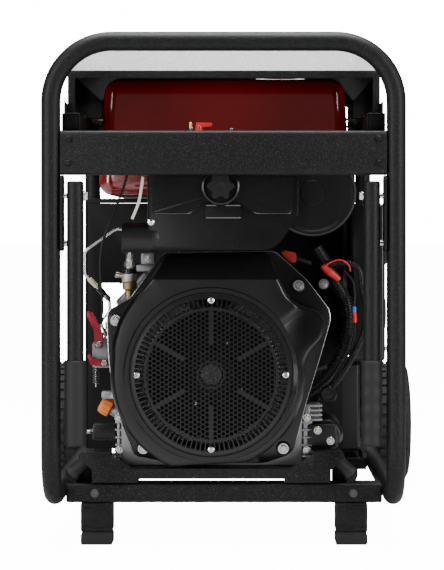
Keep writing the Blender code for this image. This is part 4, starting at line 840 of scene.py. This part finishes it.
def thicken(part, depth):
    """Gives a flat sheet facing forwards a thickness towards the back."""
    sheet = part.faces[:]
    made = bmesh.ops.extrude_face_region(part, geom=sheet)
    moved = [v for v in made["geom"] if isinstance(v, bmesh.types.BMVert)]
    bmesh.ops.translate(part, verts=moved, vec=(0, depth / 1000, 0))


def flywheel():
    """The cooling fan behind the guard: a disc with swept blades."""
    piece = Piece("flywheel_fan")
    disc = [(17.8, 10), (40, 10), (44, 24), (108, 28), (112, 24), (112, 38), (17.8, 38)]
    # The fan's disc and blades take the deepest black as painted shade, so the guard's holes read dark.
    piece.lathe((CRANK[0], 84, CRANK[1]), (0, 1, 0), disc, DEEP_BLACK, 72)
    for i in range(18):
        angle = 2 * pi * i / 18
        part = bmesh.new()
        bmesh.ops.create_cube(part, size=1, matrix=Matrix.Translation((0, 0.022,
                0.080)) @ Matrix.Diagonal((0.003, 0.026, 0.052, 1)))
        lean = Matrix.Translation((0, 0, 0.08)) @ Matrix.Rotation(radians(24), 4,
                                                                  "Y") @ Matrix.Translation((0, 0, -0.08))
        part.transform(Matrix.Translation(P(CRANK[0], 84, CRANK[1])) @ Matrix.Rotation(angle, 4, "Y") @ lean)
        piece.take(part, DEEP_BLACK)
    for k in range(4):
        angle = radians(62 + 90 * k)
        piece.bolt(spoke(58, angle, 108.8), FRONTWARD, 3.6, 0, ZINC, 3)
    piece.done("crank", ["flywheel_fan"])


# ---------- Engine ----------


def engine_block():
    """The crankcase and its ribs, the cylinders and the rubber mounts."""
    refined("crankcase", CASTING, 2.5)
    refined("engine_beam", POWDER, 1.5)
    case = Piece("crankcase_ribs")
    for side, low, high in ((-1, -187, -175), (1, 132, 151)):
        for i in range(6):
            z = 150 + i * 13
            case.box((low, 132, z), (high, 230, z + 4), CASTING, 1.2)
        case.box((low, 131, 143), (high, 250, 148), CASTING, 1.5)
        case.box((low + 3, 134, 146), (high - 3, 200, 232), CASTING, 3)
        for z in (156, 212):
            case.bolt(((low + high) / 2, 131, z), FRONTWARD, 5, 7)
    case.box((-190, 131, 130.6), (154, 404, 140), CASTING, 2)
    for x in (-183, 147):
        case.bolt((x, 142, 139.6), (0, 0, 1), 5.5, 8)
    case.done()
    for side, word in ((-1, "left"), (1, "right")):
        refined("cylinder_" + word, CASTING, 1.0)
        mount = Piece("mount_front_" + word)
        x = -247.6 if side < 0 else 204.6
        half = 17 * sin(pi / 4)
        profile = [(0, 0), (14.5, 0), (14.5, 3), (12.5, 6), (11.6, 17), (12.5, 28), (14.5, 31), (14.5, 34),
                   (0, 34)]
        mount.lathe((x + side * half, 116, 127 - half), (-side, 0, 1), profile, RUBBER, 40)
        for end in (0, 1):
            lift = (-3.0 if end == 0 else 37.2) * sin(pi / 4)
            way = (side, 0, -1) if end == 0 else (-side, 0, 1)
            spot = (x + side * half - side * lift, 116, 127 - half + lift)
            mount.hexagon(spot, way, 6.5, 4, ZINC)
        mount.fixed("mount_front_" + word)
    rear = Piece("mount_rear")
    rear.lathe((CRANK[0], 534, 110.3), (0, 0, 1), [(0, 0), (20, 0), (20, 3), (17, 7), (17, 18), (20, 22),
                                                   (20, 25), (0, 25)], RUBBER, 40)
    rear.fixed("mount_rear")


def left_side_parts():
    """Injector, pump, levers, spring, oil filler and sender on the engine's left."""
    x = -163.5
    made = Piece("injector")
    made.lathe((x, 150, 416), (0, 0, 1), [(0, 0), (8, 0), (8, 12), (12, 16), (13, 26), (11, 30), (0, 30)],
               OLD_BRASS, 36)
    made.lathe((x, 150, 445), (0, 0, 1), [(0, 0), (12.6, 0), (13.4, 1.5), (13.4, 12), (12, 14), (0, 14)],
               KNURL, 40)
    made.lathe((x, 150, 459), (0, 0, 1), [(0, 0), (12.8, 0), (12.8, 7), (11, 8.5), (0, 8.5)], PLASTIC_SHINE,
               36)
    made.rod((x, 150, 466), (x, 150, 484), 6.5, KNURL, 32)
    made.hexagon((x, 150, 470), (0, 0, 1), 9.5, 9, ZINC)
    made.hexagon((x, 150, 478), (0, 0, 1), 6.5, 6, ZINC)
    made.rod((x, 150, 452), (x - 20, 150, 457), 4.5, BRASS)
    made.rod((x - 17, 150, 456.4), (x - 24, 150, 458), 6.2, ZINC)
    made.box((x - 6, 150, 426), (x + 6, 180, 438), CASTING, 1.5)
    made.box((x + 12, 140, 462), (x + 48, 176, 474), CASTING, 2.5)
    made.box((x + 20, 138, 474), (x + 44, 160, 494), CASTING, 3)
    made.bolt((x + 32, 138, 484), FRONTWARD, 4.5, 6.5)
    made.fixed("injector")
    pipe = Piece("injection_pipe")
    corners = [(x, 150, 484), (x, 150, 552), (-241, 150, 497), (-241, 150, 458), (-200, 180, 412),
               (-200, 180, 362)]
    line = bent(corners, [18, 18, 12, 10], 12)
    pipe.sweep(line, 2.8, ZINC, 16)
    pipe.sweep([P(-233, 155.8, 449), P(-222, 164, 437)], 4.6, CREAM, 20)
    pipe.sweep([P(-218, 167, 433), P(-209, 173.5, 422)], 5.6, PLASTIC_SHINE, 20)
    pipe.sweep([P(-207, 175, 420), P(-201.5, 179, 413.5)], 5.2, ZINC, 20)
    pipe.hexagon((x, 150, 484), (0, 0, 1), 6.5, 9, ZINC)
    pipe.hexagon((-200, 180, 362), (0, 0, 1), 8, 12, ZINC)
    pipe.fixed("injection_pipe")
    pump = Piece("injection_pump")
    pump.plate(rounded([(-228, 296), (-177, 296), (-177, 346), (-220, 346), (-228, 338)], 5), 152, 208,
               CASTING, 3)
    pump.rod((-200, 180, 340), (-200, 180, 362), 10, ZINC)
    pump.hexagon((-200, 180, 350), (0, 0, 1), 12, 8, DARK_STEEL)
    for px, pz in ((-216, 337), (-206, 305)):
        pump.rod((px, 155, pz), (px, 140.5, pz), 3, ZINC)
        pump.hexagon((px, 143.3, pz), FRONTWARD, 5.6, 3.5, ZINC)
    for px, pz in ((-190, 330), (-186, 304)):
        pump.bolt((px, 152, pz), FRONTWARD, 5, 7)
    pump.fixed("injection_pump")
    throttle = Piece("throttle_lever")
    paddle = [(-223, 330), (-209, 330), (-208, 352), (-212, 364), (-226, 392), (-236, 394), (-237, 386),
              (-225, 362)]
    throttle.plate(rounded(paddle, 3.5), 143.4, 145.9, CRIMSON, 0.6)
    throttle.plate(rounded([(-211, 350), (-208, 352), (-212, 364), (-226, 392), (-229, 391)], 1.0), 139, 144,
                   CRIMSON, 0.6)
    throttle.done("throttle", ["throttle_lever"])
    stop = Piece("stop_lever")
    hook = [(-200, 299), (-200, 311), (-226, 311), (-232, 321), (-236, 317), (-230, 301), (-212, 299)]
    stop.plate(rounded(hook, 2.5), 143.4, 145.9, CRIMSON, 0.6)
    stop.done("stop", ["stop_lever"])
    cap = Piece("oil_cap")
    outline = [(0, 0), (14.2, 0), (15.2, 1.2), (15.2, 15), (13.6, 19), (9, 21), (0, 21)]
    lean = Vector((-0.876, 0, 0.482))
    cap.lathe((-196.8, 169.6, 223.6), lean, outline, ORANGE, 48)
    for i in range(12):
        angle = 2 * pi * i / 12
        side = lean.orthogonal().normalized()
        other = lean.cross(side)
        spot = Vector((-196.8, 169.6, 223.6)) + (side * cos(angle) + other * sin(angle)) * 14
        cap.rod(tuple(spot + lean * 2), tuple(spot + lean * 15), 2.0, ORANGE, 12)
    cap.done("oil_filler_cap", ["oil_cap"])
    small = Piece("left_fittings")
    coil = [P(-222 + 5 * cos(a / 6 * pi), 160 + 5 * sin(a / 6 * pi), 268 + a * 0.32) for a in range(100)]
    small.sweep(coil, 1.1, DARK_STEEL, 8)
    small.rod((-222, 160, 262), (-222, 160, 304), 1.6, ZINC)
    small.box((-226, 134, 173), (-186, 160, 200), PLASTIC, 3)
    small.rod((-240, 146, 186), (-176, 146, 186), 3.2, ZINC)
    for x in (-238, -228):
        small.hexagon((x - 3, 146, 186), (1, 0, 0), 6.2, 5, ZINC)
    small.box((-212, 150, 242), (-180, 168, 256), CASTING, 3)
    small.bolt((-190, 150, 249), FRONTWARD, 5, 7)
    small.wire([(-196, 150, 396), (-206, 150, 384), (-212, 156, 372), (-205, 165, 352)], 3, 2.2, ZINC)
    hose = [(-134, 26, 622), (-136, 27, 606), (-141, 29, 580), (-152, 30, 552)]
    small.wire(hose, 4, 2.4, HOSE, 16)
    cable = [(-160, 60, 640), (-166, 62, 612), (-184, 80, 566), (-202, 110, 528), (-212, 140, 494),
             (-214, 150, 455),
                    (-210, 150, 400), (-214, 145, 372)]
    small.wire(cable, 5, 2.1, RUBBER)
    small.done()


def right_side_parts():
    """Starter, terminals, boots and connectors on the engine's right."""
    refined("starter_motor", SATIN, 1.5)
    small = Piece("right_fittings")
    for i in range(4):
        small.box((140, 136, 206 + i * 8), (168, 176, 210 + i * 8), CASTING, 1.2)
    small.box((144, 140, 204), (164, 172, 238), DARK_STEEL, 2)
    small.box((142, 132, 161), (194, 150, 201), PLASTIC, 4, 3)
    small.bolt((160, 132, 190), FRONTWARD, 5, 7)
    small.bolt((182, 132, 172), FRONTWARD, 5, 7)
    small.plate(rounded([(97, 494), (101, 499), (124, 494), (124, 478), (112, 477)], 3), 146, 166, RED_BOOT,
                2.5, 4)
    small.rod((120, 156, 486), (150, 160, 476), 3.4, RUBBER, 20)
    boot = even(smooth([(170, 166, 472), (178, 166, 464), (190, 167, 455), (199, 168, 447)]), 3)
    small.sweep(boot, [7.2 - 4.0 * abs(i / (len(boot) - 1) - 0.45) for i in range(len(boot))], RED_BOOT, 20)
    small.lathe((172, 166, 440), FRONTWARD, [(0, 0), (9, 0), (9, 1.6), (0, 1.6)], CHROME, 32)
    small.hexagon((172, 164.4, 440), FRONTWARD, 6.5, 6, ZINC)
    small.rod((172, 180, 440), (172, 156, 440), 3, ZINC)
    small.rod((225, 166, 401), (225, 166, 391), 3.4, BLUE, 20)
    small.rod((225, 166, 391), (226, 166, 373), 3.8, RED_BOOT, 20)
    small.wire([(225, 166, 401), (226, 168, 425), (222, 172, 446), (208, 174, 462)], 4, 1.8, RUBBER)
    small.wire([(226, 166, 373), (224, 170, 345), (208, 176, 305), (182, 180, 262)], 4, 1.8, RUBBER)
    lead = [(172, 160, 470), (184, 160, 478), (200, 160, 482), (214, 162, 474), (218, 166, 462)]
    small.wire(lead, 4, 1.5, RED_BOOT)
    small.lathe((180, 150, 250), FRONTWARD, [(0, -28), (14, -28), (14, 0), (12.5, 2), (10, 2), (10, -2),
                                             (0, -2)], PLASTIC_SHINE, 36)
    small.box((148, 140, 330), (172, 170, 392), DARK_STEEL, 3)
    small.bolt((160, 140, 380), FRONTWARD, 5, 7)
    small.bolt((160, 140, 342), FRONTWARD, 5, 7)
    small.rod((150, 150, 292), (176, 150, 300), 6, PLASTIC)
    small.done()


def looms():
    """Split corrugated conduit: a round tube whose radius steps in and out every few millimetres."""
    thick = [(160, 502), (180, 470), (195, 438), (211, 410), (216, 374), (209, 330), (191, 295), (168, 270),
             (144, 253)]
    thin = [(172, 474), (188, 476), (205, 477), (225, 472), (235, 459), (239, 433), (246, 392), (242, 358),
            (228, 325),
            (205, 286), (176, 252), (144, 237)]
    for name, route, t, radius, pitch in (("wiring_loom_thick", thick, 190, 11.5, 4.4),
                                          ("wiring_loom_thin", thin, 168, 5.5, 3.0)):
        line = even(smooth([(x, t, z) for x, z in route], 8), pitch / 4)
        sizes = [radius if i % 4 in (0, 1) else radius * 0.86 for i in range(len(line))]
        piece = Piece(name)
        piece.sweep(line, sizes, PLASTIC, 24)
        for end in (0, len(line) - 3):
            piece.sweep(line[end:end + 3], radius * 0.98, RUBBER, 24)
        piece.fixed(name)
    ties = Piece("loom_ties")
    for x, z, r in ((214, 395, 13.2), (200, 311, 13.2)):
        ties.lathe((x, 190, z), (0.25 if z > 350 else 0.45, 0, 1),
                   [(11.3, -1.6), (r - 1, -1.6), (r - 1, 1.6), (11.3, 1.6)], PLASTIC_SHINE, 32)
    ties.done()


# ---------- Rear, alternator and electrics ----------


def rear_parts():
    """Everything behind the engine."""
    refined("muffler", HEATPROOF, 2.0)
    refined("axle", ZINC, 0.8)
    refined("alternator_end_cover", CASTING, 3.0)
    refined("alternator_rotor", IRON, 1.0, "crank")
    refined("crankshaft", IRON, 1.0, "crank")
    refined("air_filter_element", PAPER, 1.0)
    refined("alternator_housing", DEEP_BLACK, 0.8)
    refined("battery", PLASTIC, 1.5)
    seal = Piece("baffle_edge_seal")
    seal.box((-261.8, 420.6, 126), (-257.4, 423.6, 583), DEEP_BLACK, 0.6)
    seal.box((-261.8, 420.6, 583.2), (218, 423.6, 592), DEEP_BLACK, 0.6)
    seal.done()
    ribs = Piece("alternator_ribs")
    for i in range(40):
        angle = 2 * pi * i / 40
        if abs(angle - 1.5 * pi) < 0.6:
            continue
        part = bmesh.new()
        size = Matrix.Diagonal((0.004, 0.250, 0.006, 1))
        bmesh.ops.create_cube(part, size=1, matrix=Matrix.Translation((0, 0, 0.1285)) @ size)
        turn = Matrix.Rotation(pi / 2 - angle, 4, "Y")
        part.transform(Matrix.Translation(P(CRANK[0], 566, CRANK[1])) @ turn)
        ribs.take(part, DARK_STEEL)
    for i in range(24):
        angle = 2 * pi * i / 24
        start = spoke(45, angle, 796.8)
        ribs.rod(start, spoke(92, angle, 796.8), 2.2, IRON, 12)
    for i in range(4):
        angle = pi / 4 + pi / 2 * i
        ribs.bolt(spoke(104, angle, 796.5), (0, 1, 0), 6, 9)
    ribs.lathe((CRANK[0], 797, CRANK[1]), (0, 1, 0), [(0, -8), (30, -8), (30, 3), (26, 6), (0, 6)], CASTING,
               48)
    ribs.done()
    can = Piece("muffler_fittings")
    for x in (-190, -70, 70, 190):
        can.lathe((x, 765, 498), (1, 0, 0), [(72.5, -8), (75, -8), (75, 8), (72.5, 8)], DARK_STEEL, 56)
    for x in (-218, 222):
        can.lathe((x - 2, 765, 498), (1, 0, 0), [(66, 0), (76, 0), (76, 3), (66, 3)], HEATPROOF, 56)
    can.done()


def control_box():
    """The fascia on the right: meter, lamps, sockets and switches, with nothing written on it."""
    refined("control_panel", SATIN, 3.0)
    panel = Piece("panel_fittings")
    panel.plate(rounded([(262, 312), (738, 312), (738, 568), (262, 568)], 10), 284, 285.2, PANEL_GREY, 0.4,
                1, "TZ")
    for t, z in ((272, 322), (728, 322), (272, 558), (728, 558)):
        panel.bolt((285, t, z), (1, 0, 0), 4, 6, ZINC, 3)
    panel.lathe((285, 330, 500), (1, 0, 0), [(0, 0), (30, 0), (30, 6), (27, 8), (25, 5), (0, 5)],
                PLASTIC_SHINE, 56)
    panel.lathe((285, 330, 500), (1, 0, 0), [(0, 4), (25, 4), (25, 5.6), (0, 5.6)], WHITE_PLASTIC, 56)
    panel.box((290, 329, 496), (291.4, 331, 520), RED_PLASTIC, 0.3)
    for i, mat in enumerate((RED_BOOT, ORANGE, BLUE)):
        panel.lathe((285, 400 + i * 22, 540), (1, 0, 0), [(0, 0), (6, 0), (6, 3), (4, 6), (0, 7)], mat, 28)
    outlet = [(0, 0), (28, 0), (28, 5), (22, 8), (20, 8), (20, 2), (0, 2)]
    for t in (520, 620):
        panel.lathe((285, t, 380), (1, 0, 0), outlet, PLASTIC, 48)
    panel.box((284.5, 484, 470), (287.5, 516, 530), PLASTIC, 1)
    for t in (560, 590):
        panel.rod((285, t, 540), (296, t, 540), 7, ZINC)
        panel.hexagon((287, t, 540), (1, 0, 0), 9, 5, BRASS)
    panel.lathe((285, 650, 500), (1, 0, 0), [(11.3, 0), (15, 0), (14, 4), (11.3, 4)], ZINC, 40)
    panel.done()
    socket = Piece("power_socket")
    section = [(0, 2), (22, 2), (22, 9.4), (27, 9.4), (33, 6), (34, 4), (34, 0), (0, 0)]
    socket.lathe((284.8, 380, 380), (1, 0, 0), section, PLASTIC, 64)
    for k in range(3):
        angle = 2 * pi * k / 3 + pi / 2
        t, z = 380 + 11 * cos(angle), 380 + 11 * sin(angle)
        socket.rod((286.5, t, z), (288, t, z), 3, ZINC, 20)
    socket.fixed("power_socket")
    refined("key_switch", ZINC, 0.6, "key")
    refined("breaker_toggle", PLASTIC_SHINE, 0.6, "breaker")
    posts = Piece("battery_fittings")
    posts.box((127, 464, 262), (251, 656, 266), PLASTIC_SHINE, 1)
    posts.box((140, 480, 281), (238, 640, 284), PLASTIC, 1.5)
    for i in range(6):
        posts.rod((212, 500 + i * 24, 281), (212, 500 + i * 24, 286), 7, PLASTIC_SHINE, 24)
    posts.done()


# ---------- Stage ----------


def camera_only(tree, seen, felt):
    """A value that is one thing where the camera looks straight at it and another in the light it gives."""
    path = tree.nodes.new("ShaderNodeLightPath")
    pick = tree.nodes.new("ShaderNodeMapRange")
    pick.inputs["To Min"].default_value = felt
    pick.inputs["To Max"].default_value = seen
    tree.links.new(path.outputs["Is Camera Ray"], pick.inputs["Value"])
    return pick.outputs["Result"]


def studio():
    """A white floor under a white sky, with a large soft light above and strip lights at both sides."""
    white = finish("studio_white", (0.60, 0.60, 0.60), 0.75, grain=3, bump=0.0, patch=0.005, specular=0.1)
    shader = white.node_tree.nodes["Principled BSDF"]
    shader.inputs["Emission Color"].default_value = (1, 1, 1, 1)
    white.node_tree.links.new(camera_only(white.node_tree, FLOOR_GLOW, 0.0),
                              shader.inputs["Emission Strength"])
    bm = bmesh.new()
    corners = [(-60, -20, 0), (60, -20, 0), (60, 200, 0), (-60, 200, 0)]
    bm.faces.new([bm.verts.new(c) for c in corners])
    mesh = bpy.data.meshes.new("studio_floor")
    bm.to_mesh(mesh)
    bm.free()
    mesh.materials.append(white)
    floor = bpy.data.objects.new("studio_floor", mesh)
    bpy.context.scene.collection.objects.link(floor)
    for name, place, aim, size, power in LIGHTS:
        lamp = bpy.data.lights.new(name, "AREA")
        lamp.shape = "RECTANGLE"
        lamp.size, lamp.size_y = size
        lamp.energy = power
        made = bpy.data.objects.new(name, lamp)
        made.location = place
        made.rotation_euler = (Vector(aim) - Vector(place)).to_track_quat("-Z", "Y").to_euler()
        bpy.context.scene.collection.objects.link(made)
    sky = bpy.data.worlds.new("studio_air")
    sky.use_nodes = True
    tree = sky.node_tree
    tree.nodes["Background"].inputs["Color"].default_value = (1, 1, 1, 1)
    tree.links.new(camera_only(tree, SKY_GLOW, SKY_LIGHT), tree.nodes["Background"].inputs["Strength"])
    bpy.context.scene.world = sky


FLOOR_GLOW = 14.0
SKY_GLOW = 16.0
SKY_LIGHT = 0.14
LIGHTS = [
    ("overhead", (0, -0.45, 2.3), (0, -0.25, 0.4), (1.6, 1.3), 120),
    ("left_strip", (-1.9, -1.9, 1.0), (0, -0.4, 0.45), (0.5, 1.8), 45),
    ("right_strip", (1.9, -1.9, 1.0), (0, -0.4, 0.45), (0.5, 1.8), 45),
    ("front_fill", (-0.9, -3.0, 0.35), (0, -0.4, 0.4), (0.5, 0.5), 5),
    ("rear_glow", (0, 2.2, 2.2), (0, 0.4, 0.8), (1.6, 1.0), 25),
]


def camera():
    """A level camera 3.1 m in front of the front hoop, framed low and to the left of its axis."""
    lens = bpy.data.cameras.new("camera")
    lens.lens = 119.1
    lens.shift_x = -0.0368
    lens.shift_y = -0.100
    lens.clip_end = 60
    made = bpy.data.objects.new("camera", lens)
    made.location = P(32, -3100, 537)
    made.rotation_euler = (pi / 2, 0, 0)
    bpy.context.scene.collection.objects.link(made)
    bpy.context.scene.camera = made


def build():
    """Makes every part, then the studio and the camera."""
    frame_tubes()
    crossbar("front_crossbar", False)
    crossbar("rear_crossbar", True)
    hood()
    feet()
    handles()
    wheels()
    tank()
    air_cleaner()
    shroud()
    grille()
    flywheel()
    engine_block()
    left_side_parts()
    right_side_parts()
    looms()
    rear_parts()
    control_box()
    studio()
    camera()


build()
